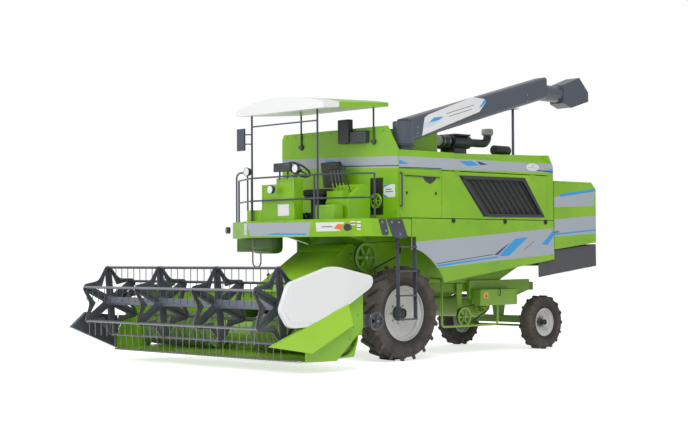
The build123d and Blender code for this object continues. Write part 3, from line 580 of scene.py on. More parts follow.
# ---------------------------------------------------------------- threshing body and its hangers
# Folded and spot-welded sheet round the threshing drum and sieves, lime all over and dusted
# by chaff. The fan, the tool box and the belt drives are bolted on below it.


def patch(finish, corners, across="y"):
    """1 inside a convex outline given anticlockwise as (across, z), and 0 outside."""
    inside = None
    for (a, az), (b, bz) in zip(corners, corners[1:] + corners[:1]):
        run = math.hypot(b - a, bz - az)
        flat, rise = (b - a) / run, (bz - az) / run
        side = (finish.z - az) * flat - (getattr(finish, across) - a) * rise
        half = side.above(0, 0.003)
        inside = half if inside is None else inside & half
    return inside


def graphics(finish, rows, across="y", only=None):
    """Lays flat colours over a finish: rows of (colour, outline), later ones on top."""
    for colour, outline in rows:
        mask = patch(finish, outline, across)
        finish.over(mask if only is None else mask & only, colour)


def plate_finish(name, rows, across="y"):
    """A printed white plate: rows of (colour, outline) on white enamel, with nothing written."""
    finish = Finish(name, "white_panel", coat_weight=0.3, coat_roughness=0.1)
    haze = finish.noise(40, 3)
    finish.tone = finish.mix(haze, (0.72, 0.73, 0.74), (0.8, 0.81, 0.82))
    finish.set(base_color=finish.tone, roughness=haze * 0.15 + 0.3)
    graphics(finish, rows, across)
    return finish


def printed(name, corners, back, ahead, rows, across="x", thick=0.002, edge=0.0, corner=0.0, body="root"):
    """A plate cut to its outline, printed and stuck on."""
    settle(cut_plate(corners, back, ahead, thick, edge, corner, across), name,
           plate_finish(name.replace("_", " "), rows, across), body)


sheet_enamel = enamel("body sheet enamel", LIME, LIME_DEEP, 0.36, 0.35, 0.2)
dress(sheet_enamel, "threshing_body", "feeder_house", "oil_tank")
dark_enamel = enamel("shaded enamel", (0.06, 0.15, 0.01), (0.035, 0.09, 0.008), 0.45, 0.2)
belt_rubber = mottled("belt rubber", "black_parts", (0.012, 0.012, 0.012), (0.04, 0.038, 0.035),
                      (80, 4), (0.65, 0.85), (80, 4, 0.0008))
# centres of what turns below the body and on the feeder's shaft, as (Y, Z)
FAN = (1.9, 0.76)
SHEAVE = (1.346, 0.60)
FEEDER = (-0.94, 1.59)
# sieve box between the wheels, its fan drum beneath and a tool box on the left
for s, side, ahead, inward in SIDES:
    settle(cut_plate([(1.55, 1.20), (3.10, 1.20), (3.10, 1.02), (2.60, 0.88), (1.55, 0.88)], s * 0.70, ahead,
                     0.06, 0.006), f"sieve_side_{side}", sheet_enamel)
    along = spaced((s * OUTSIDE, 0.6, 1.30), (s * OUTSIDE, 2.0, 1.30), 5)
    bolts(f"sieve_bolts_{side}", "threshing_body", along, inward)
    pulley(f"fan_inlet_{side}", (s * 0.66, *FAN), ahead, 0.115, 0.05, 5, 0.03, sheet_enamel)
drum = disc(0.295, 1.30, (0, 1.9, 0.87), 64, ACROSS)
bpy.ops.object.transform_apply()
whole()
bpy.ops.mesh.bisect(plane_co=(0, 1.9, 0.90), plane_no=UP, clear_outer=True, use_fill=True)
select_side(drum, LEFT, both=True)
bpy.ops.mesh.inset(thickness=0.03)
push((0, 0, 0))
bpy.ops.transform.resize(value=(0.985, 1, 1))
smooth()
settle(drum, "fan_drum", sheet_enamel)
settle(cabinet((0.762, 1.601, 0.78), (0.962, 2.542, 1.055), 0.015, LEFT), "tool_box", sheet_enamel)
settle(repeat(pipe([(0, -0.06, 0), (0, -0.06, 0.03), (0, 0.06, 0.03), (0, 0.06, 0)], 0.007, 0.012),
              [facing((0.958, 2.07, 1.0), LEFT)]), "tool_box_grip", black_enamel)
MARKER = oblong(1.68, 0.90, 1.80, 1.00)
settle(cut_plate(MARKER, 0.9585, LEFT, 0.002, corner=0.008), "tool_box_marker", plate_finish("marker plate", [
    ((0.8, 0.5, 0.02), MARKER), ((0.5, 0.03, 0.02), [(1.72, 0.92), (1.78, 0.92), (1.75, 0.98)])]))
# guard tube hung under the left side, from the body's edge to the tool box
settle(pipe([(0.69, 0.70, 1.24), (0.93, 0.70, 1.24), (0.93, 0.70, 0.46), (0.93, 2.06, 0.46),
             (0.93, 2.06, 0.80)], 0.018, 0.06), "guard_tube", sheet_enamel)
# belt drives: a sheave on its hanger drives the fan, and a pulley the feeder's shaft
pulley("fan_sheave", (0.79, *SHEAVE), LEFT, 0.16, 0.05, 6, 0.035, sheet_enamel)
settle(cut_plate([(1.28, 1.15), (1.41, 1.15), (1.385, 0.57), (1.305, 0.57)], 0.70, LEFT, 0.03, 0.004),
       "sheave_hanger", sheet_enamel)
settle(pipe([(0.70, *SHEAVE), (0.86, *SHEAVE)], 0.024), "sheave_shaft", zinc)
settle(belt([(*SHEAVE, 0.152), (*FAN, 0.07)], 0.815, 0.03), "fan_belt", belt_rubber)
pulley("fan_pulley", (0.795, *FAN), LEFT, 0.07, 0.04, 5, 0.022, sheet_enamel)
settle(pipe([(0.60, *FAN), (0.85, *FAN)], 0.018), "fan_shaft", zinc)
pulley("feeder_pulley", (0.83, *FEEDER), LEFT, 0.23, 0.05, 6, 0.045,
       enamel("pulley enamel", LIME_DEEP, (0.12, 0.30, 0.008), 0.4, 0.2))
settle(pipe([(0.61, *FEEDER), (0.895, *FEEDER)], 0.028), "feeder_shaft", zinc)
settle(belt([(*FEEDER, 0.222), (-0.30, 1.72, 0.12)], 0.855, 0.036), "feeder_belt", belt_rubber)
# oil drum under the platform's right front, a valve box beside it and the pipe between them
oil_drum = settle(cabinet((-0.81, -1.88, 1.66), (-0.27, -1.60, 2.16), 0.09, FORWARD), "oil_drum", dark_enamel)
settle(cabinet((-1.19, -1.83, 1.69), (-0.79, -1.70, 1.90), 0.008, FORWARD), "valve_box", dark_enamel)
settle(pipe([(-0.87, -1.765, 1.70), (-0.87, -1.765, 1.45), (-0.67, -1.765, 1.45), (-0.67, -1.765, 1.68)],
            0.011, 0.085), "oil_pipe", black_enamel)
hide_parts("oil_tank")

# ---------------------------------------------------------------- grain tank
# Sheet steel tank behind the operator, bolted together. A silver band with blue and navy
# darts crosses its front board and runs on along both shoulders of the hood.
BOARD_FACE = -0.7225         # Y of what is fixed to the board
BAND_FRONT = [(SILVER, [(-0.18, 3.027), (1.36, 2.966), (1.36, 3.148), (-0.18, 3.193)]),
              (SILVER, [(-1.35, 3.06), (-0.17, 3.027), (-0.17, 3.193), (-1.35, 3.225)]),
              (BLUE, [(-0.20, 3.04), (0.20, 3.05), (-0.10, 3.15), (-0.30, 3.16)]),
              (NAVY, [(0.06, 3.036), (1.36, 2.992), (1.36, 3.008), (0.10, 3.052)])]
tank_enamel = enamel("tank enamel", LIME, LIME_DEEP, 0.28, 0.1)
graphics(tank_enamel, BAND_FRONT, "x", 1 - tank_enamel.y.above(-0.70))
dress(tank_enamel, "grain_tank")
printed("service_plate", oblong(1.047, 2.52, 1.296, 2.716), -0.722, FORWARD, [
    (BLUE, [(1.047, 2.52), (1.16, 2.52), (1.047, 2.57)]),
    (BLUE, [(1.20, 2.716), (1.047, 2.716), (1.047, 2.67)]),
    (GRAPHITE, oblong(1.09, 2.60, 1.25, 2.612)),
    (GRAPHITE, oblong(1.09, 2.635, 1.22, 2.647))], corner=0.012)
bolts("board_bolts", "grain_tank",
      spaced((-1.22, -1.5, 3.58), (0.05, -1.5, 3.58), 7) + spaced((0.80, -1.5, 3.58), (1.05, -1.5, 3.56), 2)
      + spaced((-1.31, -1.5, 2.3), (-1.31, -1.5, 2.95), 4) + spaced((1.31, -1.5, 2.3), (1.31, -1.5, 2.95), 4),
      BACKWARD, tank_enamel)
slate = enamel("slate enamel", SLATE, SLATE_DEEP, 0.34, 0.1, slot="slate_paint")
dress(slate, "canopy_posts", "railing", "ladder", "auger_turret",
      "reel_arms", "lift_barrels", "reel_barrels", "divider_right", "mirror")
# air duct and a switch box on the board above the seat
settle(cabinet((0.12, -0.832, 3.395), (0.37, BOARD_FACE, 3.775), 0.014, FORWARD), "board_duct", black_enamel)
settle(cabinet((0.378, -0.815, 3.39), (0.74, BOARD_FACE, 3.575), 0.014, FORWARD), "board_box", slate)

# ---------------------------------------------------------------- air intake and silencer
# Two drawn filter cans strapped to saddles under a rain plate, a pre-cleaner on its elbow and
# a silencer lying on the hood: dark enamel, with pale caps on the cans and a pale bowl.
CAN_X = (0.70, 0.44)
CAN_Z = 3.50
STACK = (0.70, 2.10)         # the elbow's upright end, as (X, Y)
intake_enamel = enamel("intake enamel", SLATE_DEEP, (0.02, 0.024, 0.03), 0.4, 0.1)


def can(radius, start, length, lip=0.006):
    """A drawn steel can lying along the machine, with a pressed ring in each end."""
    x, y, z = start
    shell = disc(radius, length, (x, y + length / 2, z), 48, ALONG)
    bpy.ops.object.transform_apply()
    for end in (FORWARD, BACKWARD):
        ahead = Vector(end)
        select_side(shell, ahead, 0.95)
        bpy.ops.mesh.bevel(offset=0.012, segments=3)
        select_side(shell, ahead, 0.999)
        bpy.ops.mesh.inset(thickness=radius * 0.16)
        push(-ahead * lip)
        bpy.ops.mesh.inset(thickness=radius * 0.3)
        push(ahead * lip)
    smooth()
    return shell


cap_enamel = enamel("cap enamel", (0.42, 0.43, 0.43), (0.34, 0.35, 0.35), 0.4, 0.1, slot="bright_steel")
for k, x in enumerate(CAN_X):
    settle(can(0.095, (x, 0.90, CAN_Z), 0.22), f"end_can_{k}", intake_enamel)
    settle(can(0.112, (x, 1.18, CAN_Z), 0.42), f"filter_can_{k}", intake_enamel)
    settle(can(0.086, (x, 0.892, CAN_Z), 0.02, 0.002), f"end_cap_{k}", cap_enamel)
    settle(pipe([(x, 1.10, CAN_Z), (x, 1.20, CAN_Z)], 0.05), f"can_neck_{k}", black_enamel)
    settle(cabinet((x - 0.03, 1.24, 3.26), (x + 0.03, 1.54, 3.41), 0.006), f"can_saddle_{k}", slate)
settle(cabinet((0.37, 1.18, 3.598), (0.81, 1.56, 3.626), 0.008, UP), "can_plate", intake_enamel)
settle(pipe([(0.70, 1.58, CAN_Z), (*STACK, CAN_Z), (*STACK, 3.66)], 0.07, 0.13), "intake_elbow",
       intake_enamel)
bowl = disc(0.10, 0.11, (*STACK, 3.70), 40)
select_side(bowl, UP, both=True)
bpy.ops.mesh.bevel(offset=0.025, segments=4)
smooth()
settle(bowl, "precleaner_bowl", cap_enamel)
settle(can(0.082, (0.70, 2.25, 3.405), 0.38), "silencer", black_enamel)
settle(cabinet((0.66, 2.32, 3.20), (0.74, 2.56, 3.34), 0.006), "silencer_saddle", slate)
dress(intake_enamel, "air_intake")
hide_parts("air_intake")
bpy.ops.mesh.primitive_torus_add(major_radius=0.098, minor_radius=0.004, major_segments=40, minor_segments=6)
clamp = bpy.context.object
clamp.scale = (1, 1, 2.5)
spots = [facing((x, y, CAN_Z), FORWARD) for x in CAN_X for y in (0.95, 1.08)]
settle(repeat(clamp, spots), "can_clamps", zinc)

# ---------------------------------------------------------------- engine and hood
# Cast engine block behind the doors, under a pressed hood whose rounded shoulders carry
# the silver band.
iron = Finish("engine iron", metallic=0.4)
iron.set(base_color=iron.mix(iron.noise(9, 5), (0.05, 0.052, 0.055), (0.13, 0.12, 0.11)),
         roughness=iron.noise(14, 3) * 0.3 + 0.45)
iron.bump(iron.noise(60, 4), 0.002)
dress(iron, "engine")
BAND_SIDE = [(SILVER, [(-0.73, 2.968), (3.05, 3.015), (3.05, 3.165), (-0.73, 3.150)]),
             (NAVY, [(-0.73, 2.968), (0.3, 2.979), (0.25, 2.995), (-0.73, 2.984)]),
             (BLUE, [(-0.73, 3.02), (-0.47, 3.036), (-0.698, 3.097), (-0.73, 3.097)]),
             (BLUE, [(0.863, 3.05), (1.165, 3.072), (0.973, 3.135), (0.674, 3.123)]),
             (NAVY, [(1.193, 3.078), (1.371, 3.095), (1.16, 3.134), (1.10, 3.128)]),
             (NAVY, [(2.576, 3.034), (3.05, 3.013), (3.05, 3.04), (2.62, 3.05)]),
             (BLUE, [(2.80, 3.05), (3.05, 3.045), (3.05, 3.075), (2.84, 3.062)])]
hood_enamel = enamel("hood enamel", LIME, LIME_DEEP, 0.27, 0.1)
graphics(hood_enamel, BAND_SIDE, only=hood_enamel.aside.above(1.20))
dress(hood_enamel, "engine_hood")
for s, side, _, inward in SIDES:
    along = spaced((s * BESIDE, 0.80, 3.20), (s * BESIDE, 2.90, 3.19), 8)
    bolts(f"hood_bolts_{side}", "engine_hood", along, inward, hood_enamel)
# oval white plate on the left shoulder
oval_x = skin("engine_hood", (BESIDE, 2.5, 3.09), RIGHT)[0].x + 0.0005
bpy.ops.mesh.primitive_circle_add(vertices=40, radius=1, fill_type="NGON", rotation=ACROSS,
                                  location=(oval_x, 2.5, 3.09))
oval = bpy.context.object
oval.scale = (0.062, 0.165, 1)
bpy.ops.object.transform_apply()
bpy.ops.object.mode_set(mode="EDIT")
push((0.002, 0, 0))
whole()
bpy.ops.mesh.normals_make_consistent(inside=False)
settle(oval, "shoulder_oval", plate_finish("oval plate", [
    (BLUE, [(2.37, 3.075), (2.63, 3.075), (2.60, 3.083), (2.40, 3.083)]),
    (LIME, [(2.46, 3.105), (2.53, 3.105), (2.50, 3.135)])]))

# ---------------------------------------------------------------- side panels and doors
# Pressed panels between arch and rear corner, silver below a slanting line, with navy and
# blue darts and a lime sill. The doors above hinge along their top edge.
SIDE_ROWS = [(SILVER, [(-0.42, 1.386), (3.06, 1.626), (3.06, 2.07), (-0.42, 1.82)]),
             (NAVY, [(0.145, 1.483), (1.483, 1.622), (1.49, 1.634), (0.13, 1.494)]),
             (NAVY, [(1.483, 1.622), (1.596, 1.617), (1.711, 1.692), (1.972, 1.854), (1.914, 1.854),
                     (1.654, 1.703)]),
             (BLUE, [(0.17, 1.438), (1.60, 1.575), (1.60, 1.60), (0.15, 1.468)]),
             (BLUE, [(1.613, 1.599), (1.882, 1.605), (2.371, 1.920), (2.03, 1.881)]),
             (GRAPHITE, [(2.262, 1.703), (2.272, 1.700), (2.526, 1.841), (2.518, 1.846)]),
             (BLUE, [(2.710, 1.787), (2.891, 1.787), (3.06, 1.96), (3.06, 2.05)])]
panel_enamel = enamel("panel enamel", LIME, LIME_DEEP, 0.27, 0.15, dust_top=1.75)
graphics(panel_enamel, SIDE_ROWS)
dress(panel_enamel, "lower_panels")
door_enamel = enamel("door enamel", LIME, LIME_DEEP, 0.27, 0.1)
door_enamel.over(patch(door_enamel, [(1.25, 2.24), (2.82, 2.25), (2.30, 2.905), (0.66, 2.895)]), GRAPHITE)
dress(door_enamel, "side_door_l", "side_door_r")
front_enamel = enamel("front panel enamel", LIME, LIME_DEEP, 0.27, 0.1)
front_enamel.over(front_enamel.aside.above(1.3515), SLATE)
dress(front_enamel, "front_panels")


def latch():
    """A black cup latch with a turned grip across its well, lying on the origin."""
    cup = disc(0.04, 0.012, (0, 0, 0.006), 24)
    select_side(cup, UP)
    bpy.ops.mesh.inset(thickness=0.007)
    push((0, 0, -0.008))
    bpy.ops.mesh.inset(thickness=0.014)
    push((0, 0, 0.014))
    bpy.ops.transform.resize(value=(0.5, 1.5, 1))
    bpy.ops.object.mode_set(mode="OBJECT")
    return cup


def catch():
    """A small square catch with a sunken button, lying on the origin."""
    square = block((0.03, 0.042, 0.012), (0, 0, 0.006))
    whole()
    bpy.ops.mesh.bevel(offset=0.003, segments=2)
    select_side(square, UP, 0.95)
    bpy.ops.mesh.inset(thickness=0.006)
    push((0, 0, -0.005))
    bpy.ops.object.mode_set(mode="OBJECT")
    return square


PANEL_X = 1.35               # outer face of the doors and panels, either side of the centre
for s, side, ahead, inward in ((1, "l", LEFT, RIGHT), (-1, "r", RIGHT, LEFT)):
    face, door = s * PANEL_X, f"side_door_{side}"
    # rubber-edged frame round the grille, and the fine screen behind its bars
    frame_ring = cut_plate([(0.675, 2.885), (2.255, 2.895), (2.80, 2.252), (1.31, 2.243)], face, ahead, 0.012,
                           corner=0.09)
    select_side(frame_ring, LEFT, 0.99, both=True)
    bpy.ops.mesh.inset(thickness=0.046)
    bpy.ops.mesh.delete(type="FACE")
    bpy.ops.mesh.select_mode(type="EDGE")
    bpy.ops.mesh.select_non_manifold()
    bpy.ops.mesh.bridge_edge_loops()
    whole()
    bpy.ops.mesh.normals_make_consistent(inside=False)
    settle(frame_ring, f"grille_frame_{side}", black_enamel, door)
    screen_finish = Finish(f"grille screen {side}", "black_parts", roughness=0.6, metallic=0.3)
    wires = ((screen_finish.y * 420).math("SINE") | (screen_finish.z * 420).math("SINE")).above(0.75, 0.3)
    screen_finish.set(base_color=screen_finish.mix(wires, (0.012, 0.013, 0.012), (0.10, 0.105, 0.10)))
    screen_finish.bump(wires, 0.001)
    settle(cut_plate([(0.72, 2.86), (2.25, 2.87), (2.77, 2.28), (1.32, 2.27)], s * 1.318, inward, 0.004),
           f"grille_screen_{side}", screen_finish, door)
    # three latches under the seam, and two catches on the panel in front of the door
    spots = [facing(*skin("lower_panels", (s * BESIDE, y, 2.172), inward)) for y in (0.53, 1.78, 2.824)]
    settle(repeat(latch(), spots), f"seam_latches_{side}", black_enamel)
    spots = [facing(*skin("front_panels", (s * BESIDE, y, z), inward))
             for y, z in ((-0.523, 2.586), (0.127, 2.592))]
    settle(repeat(catch(), spots), f"panel_catches_{side}", black_enamel)
    # folded steel prop and its gusset at the panel's top
    prop = cut_plate([(-0.575, 2.862), (0.215, 2.85), (0.215, 2.836), (-0.575, 2.85)], face + s * 0.001,
                     ahead, 0.016, 0.002)
    settle(prop, f"panel_prop_{side}", black_enamel)
    gusset = cut_plate([(-0.30, 2.849), (0.20, 2.84), (0.10, 2.79), (0.01, 2.68), (-0.03, 2.685),
                        (-0.11, 2.78)], face + s * 0.001, ahead, 0.010, 0.003)
    settle(gusset, f"panel_gusset_{side}", black_enamel)
    along = spaced((s * BESIDE, -0.34, 2.13), (s * BESIDE, 2.98, 2.13), 9)
    down = spaced((s * BESIDE, 2.99, 1.62), (s * BESIDE, 2.99, 2.05), 4)
    bolts(f"panel_bolts_{side}", "lower_panels", along + down, inward, panel_enamel, radius=0.009)
    bolts(f"front_panel_bolts_{side}", "front_panels",
          [(s * BESIDE, y, z) for y in (-0.655, 0.235) for z in (2.24, 2.45, 2.92)], inward, panel_enamel,
          radius=0.009)
    # hinge leaves along the door's top edge
    for n, y in enumerate((0.63, 2.50)):
        leaf = cut_plate([(y - 0.07, 2.935), (y + 0.07, 2.935), (y + 0.05, 2.875), (y - 0.05, 2.875)], face,
                         ahead, 0.005, 0.0015)
        settle(leaf, f"hinge_leaf_{side}{n}", door_enamel, door)
        pair = [(s * BESIDE, y + step, 2.905) for step in (-0.03, 0.03)]
        bolts(f"hinge_bolts_{side}{n}", door, pair, inward, zinc, door, radius=0.009)

# ---------------------------------------------------------------- straw hood
# Rear hood folded from the same sheet, with a silver plate above and a striped band below.
# A door in its back wall gives access to the straw walkers.
REAR_ROWS = [(SILVER, [(3.053, 2.43), (4.160, 2.47), (4.197, 2.744), (3.056, 2.60)]),
             (BLUE, [(3.241, 2.609), (4.225, 2.73), (4.23, 2.773), (3.20, 2.66)]),
             (SILVER, [(3.015, 1.923), (4.23, 1.989), (4.23, 2.302), (3.019, 2.215)]),
             (NAVY, [(3.06, 1.99), (4.23, 2.095), (4.23, 2.109), (3.171, 2.021), (3.017, 2.079)]),
             (BLUE, [(3.077, 1.952), (4.23, 2.04), (4.23, 2.066), (3.05, 1.978)])]
rear_enamel = enamel("rear hood enamel", LIME, LIME_DEEP, 0.27, 0.15, dust_top=1.9)
graphics(rear_enamel, REAR_ROWS, only=rear_enamel.aside.above(1.345))
beacon = rear_enamel.z.above(2.955) & (1 - rear_enamel.aside.above(0.1))
rear_enamel.over(beacon, GRAPHITE)
rear_enamel.over(beacon & rear_enamel.z.above(2.966), (0.06, 0.035, 0.02))
dress(rear_enamel, "straw_hood")
for s, side, _, inward in SIDES:
    low = spaced((s * BESIDE, 3.12, 1.79), (s * BESIDE, 4.17, 1.89), 7)
    high = spaced((s * BESIDE, 3.12, 2.85), (s * BESIDE, 4.05, 2.85), 6)
    bolts(f"rear_hood_bolts_{side}", "straw_hood", low + high, inward, rear_enamel, radius=0.009)
# rear: a service door with a grab handle and two latches
door_sheet = cut_plate(oblong(-0.62, 2.02, 0.62, 2.66), 4.2195, BACKWARD, 0.008, 0.003, 0.05, "x")
settle(door_sheet, "rear_door", rear_enamel)
settle(pipe([(-0.16, 4.225, 2.12), (-0.16, 4.2415, 2.12), (0.16, 4.2415, 2.12), (0.16, 4.225, 2.12)], 0.008,
            0.012), "rear_door_handle", black_enamel)
settle(repeat(latch(), [facing((x, 4.2275, 2.60), BACKWARD) for x in (-0.48, 0.48)]), "rear_door_latches",
       black_enamel)

# ---------------------------------------------------------------- platform and controls
# Plate floor welded to a folded fascia, with lockers, steering column and lever console in
# lime bolted to it. Handles, knobs and pedals are black.
platform_enamel = enamel("platform enamel", LIME, LIME_DEEP, 0.3, 0.1)
FASCIA_ROWS = [(SILVER, [(-0.701, 1.938), (0.674, 1.919), (0.730, 2.130), (-0.790, 2.142)]),
               (BLUE, [(-0.35, 1.95), (0.62, 1.935), (0.64, 1.96), (-0.10, 1.975)])]
graphics(platform_enamel, FASCIA_ROWS, "x", 1 - platform_enamel.y.above(-1.95))
dress(platform_enamel, "platform")
column_enamel = enamel("column enamel", LIME, LIME_DEEP, 0.3, 0.05)
column_enamel.over(column_enamel.z.above(2.83), (0.02, 0.02, 0.022))
dress(column_enamel, "steering_column")
ORANGE, RED = (0.85, 0.20, 0.02), (0.55, 0.03, 0.02)
shadow = Finish("shaded opening", "black_parts", roughness=0.7)
shadow.set(base_color=shadow.mix(shadow.noise(20), (0.006, 0.012, 0.004), (0.014, 0.02, 0.008)))
console_enamel = enamel("console enamel", LIME, LIME_DEEP, 0.3, 0.05)
console_enamel.over(console_enamel.z.above(2.74), (0.09, 0.10, 0.11))
console_enamel.over(console_enamel.z.above(2.94), (0.012, 0.012, 0.014))
dress(console_enamel, "lever_console")
# folded lockers along the front, the steering column's casing and the box beside the seat
for name, low, high in (("low_locker", (-0.94, -1.83, 2.165), (-0.572, -1.69, 2.35)),
                        ("tall_locker", (-0.57, -1.83, 2.165), (-0.18, -1.69, 2.74)),
                        ("column_casing", (-0.178, -1.862, 2.165), (0.242, -1.675, 2.83)),
                        ("step_box", (0.40, -1.60, 2.165), (0.86, -1.40, 2.40))):
    settle(cabinet(low, high, 0.012, FORWARD), name, platform_enamel)
settle(cabinet((-0.20, -1.905, 2.925), (0.19, -1.845, 3.06), 0.014, BACKWARD), "gauge_box", black_enamel)
stay = pipe([(0, 0, 0), (0, 0, 0.14)], 0.014)
settle(repeat(stay, [(x, -1.853, 2.80) for x in (-0.10, 0.09)]), "gauge_stays", black_enamel)
settle(cut_plate([(-1.365, 2.17), (-0.895, 2.17), (-0.895, 2.72), (-1.10, 2.72), (-1.365, 2.46)], 0.42, LEFT,
                 0.51, 0.012), "lever_box", platform_enamel)
LEVER_X = [0.50 + 0.08 * k for k in range(5)]
settle(pipe([(0.82, -1.20, 2.55), (0.82, -1.338, 2.95)], 0.008), "fifth_lever", black_enamel)
bpy.ops.mesh.primitive_uv_sphere_add(segments=24, ring_count=12, radius=0.024, location=(0, 0, 0))
knob = bpy.context.object
select(knob, lambda centre, normal: centre.z < -0.012)
bpy.ops.transform.resize(value=(0.6, 0.6, 1))
bpy.ops.object.mode_set(mode="OBJECT")
bpy.ops.object.shade_smooth()
settle(repeat(knob, [(x, -1.34, 2.965) for x in LEVER_X]), "lever_knobs", black_enamel)
# printed plates on the fascia's cut corners, which turn back from the front
CORNER = (0.756, -1.956)
CORNER_END = (1.635, -1.554)
CORNER_TURN = math.atan2(CORNER_END[1] - CORNER[1], CORNER_END[0] - CORNER[0])
for name, side, corners, rows in (
        ("picture_plate", 1, [(0.075, 1.985), (0.455, 1.99), (0.53, 2.125), (0.06, 2.12)],
         [(ORANGE, [(1.08, 2.03), (1.20, 2.00), (1.27, 2.08), (1.14, 2.10)]),
          (GRAPHITE, oblong(0.90, 2.05, 1.06, 2.062))]),
        ("striped_plate_a", 1, oblong(0.62, 2.075, 0.71, 2.135),
         [(RED, oblong(1.2, 2.095, 1.6, 2.115))]),
        ("striped_plate_b", 1, oblong(0.73, 2.00, 0.79, 2.135),
         [(RED, oblong(1.2, 2.03, 1.6, 2.045)),
          (RED, oblong(1.2, 2.09, 1.6, 2.105))]),
        ("corner_plate", -1, oblong(0.07, 1.96, 0.23, 2.14),
         [(GRAPHITE, oblong(-1.12, 2.03, -1.02, 2.038))])):
    sheet = cut_plate([(side * u, z) for u, z in corners], 0.0, FORWARD, 0.002, across="x", corner=0.01)
    hinge = Matrix.Translation((side * CORNER[0], CORNER[1] - 0.0005, 0))
    settle(repeat(sheet, [hinge @ Matrix.Rotation(side * CORNER_TURN, 4, "Z")]), name,
           plate_finish(name.replace("_", " "), rows, "x"))
bolts("fascia_bolts", "platform", spaced((-0.9, -3, 2.158), (0.9, -3, 2.158), 8), BACKWARD, platform_enamel,
      radius=0.009)
printed("blank_plate", oblong(-0.15, 2.243, 0.12, 2.422), -1.8585, FORWARD, [], corner=0.01)
# five slots for the levers' feet, down the slanted panel
groove = block((0.014, 0.30, 0.006))
whole()
bpy.ops.mesh.bevel(offset=0.0028, segments=2)
slope = Vector((0, -0.26, 0.265)).normalized()
spots = [facing(Vector((x, -1.235, 2.588)) - slope * 0.0015, slope) for x in LEVER_X]
settle(repeat(groove, spots), "lever_slots", shadow)
# gusset and cheek plate that hang the ladder from the platform's edge, with their bolts
for name, corners in (
        ("ladder_gusset", [(-1.25, 2.168), (-0.92, 2.168), (-0.80, 1.90), (-0.96, 1.872), (-1.12, 1.90)]),
        ("ladder_cheek", [(-1.42, 2.168), (-1.27, 2.168), (-1.20, 1.95), (-1.24, 1.92), (-1.34, 1.93)])):
    settle(cut_plate(corners, 1.632, LEFT, 0.012, 0.002, 0.02), name, slate)
GUSSET_BOLTS = ((-1.15, 2.12), (-1.00, 2.12), (-0.97, 1.94), (-1.35, 2.12), (-1.27, 1.99))
spots = [facing((1.644, *place), LEFT) for place in GUSSET_BOLTS]
settle(repeat(bolt_head(0.016), spots), "gusset_bolts", zinc)
# loop of tube outside the right end of the railing
settle(pipe([(-1.02, -1.74, 2.168), (-1.02, -1.74, 2.96), (-1.30, -1.74, 2.96), (-1.30, -1.74, 2.168)], 0.014,
            0.09), "rail_loop", slate)
# opening in the board with the clean-grain elevator's pulley behind it
settle(cut_plate(oblong(0.76, 2.265, 1.02, 2.815), BOARD_FACE, FORWARD, 0.002, across="x"),
       "board_opening", shadow)
pulley("elevator_pulley", (0.89, -0.727, 2.47), FORWARD, 0.118, 0.03, 6, 0.03, sheet_enamel)
# pedals on the floor before the column
PEDAL_X = (-0.06, 0.07, 0.19)
pedal = block((0.09, 0.14, 0.016))
whole()
bpy.ops.mesh.bevel(offset=0.006, segments=2)
select_side(pedal, UP)
bpy.ops.mesh.inset(thickness=0.012)
push((0, 0, 0.006))
settle(repeat(pedal, [facing((x, -1.52, 2.24), (0, 0.75, 0.66)) for x in PEDAL_X]), "pedals", black_enamel)
arm = pipe([(0, 0, 0), (0, -0.05, 0.03), (0, -0.11, 0.05)], 0.009)
settle(repeat(arm, [(x, -1.52, 2.225) for x in PEDAL_X]), "pedal_arms", black_enamel)

# ---------------------------------------------------------------- canopy and reel drive cover
# Pressed lime roof behind a moulded white visor, and the moulded white cover over the reel's
# belt, pinned to the left reel arm.
canopy_enamel = enamel("canopy enamel", LIME, LIME_DEEP, 0.3, 0.05)
canopy_enamel.over(1 - canopy_enamel.y.above(-1.64), (0.79, 0.80, 0.81))
dress(canopy_enamel, "canopy")
moulded_white = mottled("moulded white", "white_panel", (0.74, 0.75, 0.76), (0.83, 0.84, 0.85),
                        (1.5, 3), (0.25, 0.35), (120, 2, 0.0004), coat_weight=0.4, coat_roughness=0.08)
dress(moulded_white, "belt_cover")
cover = cut_plate([(-3.95, 0.88), (-3.79, 1.255), (-3.05, 1.47), (-2.87, 1.47), (-2.19, 1.33), (-2.21, 1.18),
                   (-3.56, 0.645), (-3.78, 0.645)], 2.264, LEFT, 0.060, 0.016, 0.07)
select_side(cover, LEFT, 0.999)
bpy.ops.mesh.inset(thickness=0.045)
bpy.ops.mesh.inset(thickness=0.008)
push((0.005, 0, 0))
settle(cover, "moulded_cover", moulded_white, "reel_arms")
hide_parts("belt_cover")

# ---------------------------------------------------------------- seat
# Seat pad and back pad of firm foam under stretched black vinyl, each with two sewn
# channels, on a slate steel base.
vinyl = mottled("seat vinyl", "seat_vinyl", (0.018, 0.018, 0.02), (0.035, 0.035, 0.038),
                (55, 5), (0.4, 0.6), (420, 3, 0.0006))
dress(vinyl, "seat_cushion")


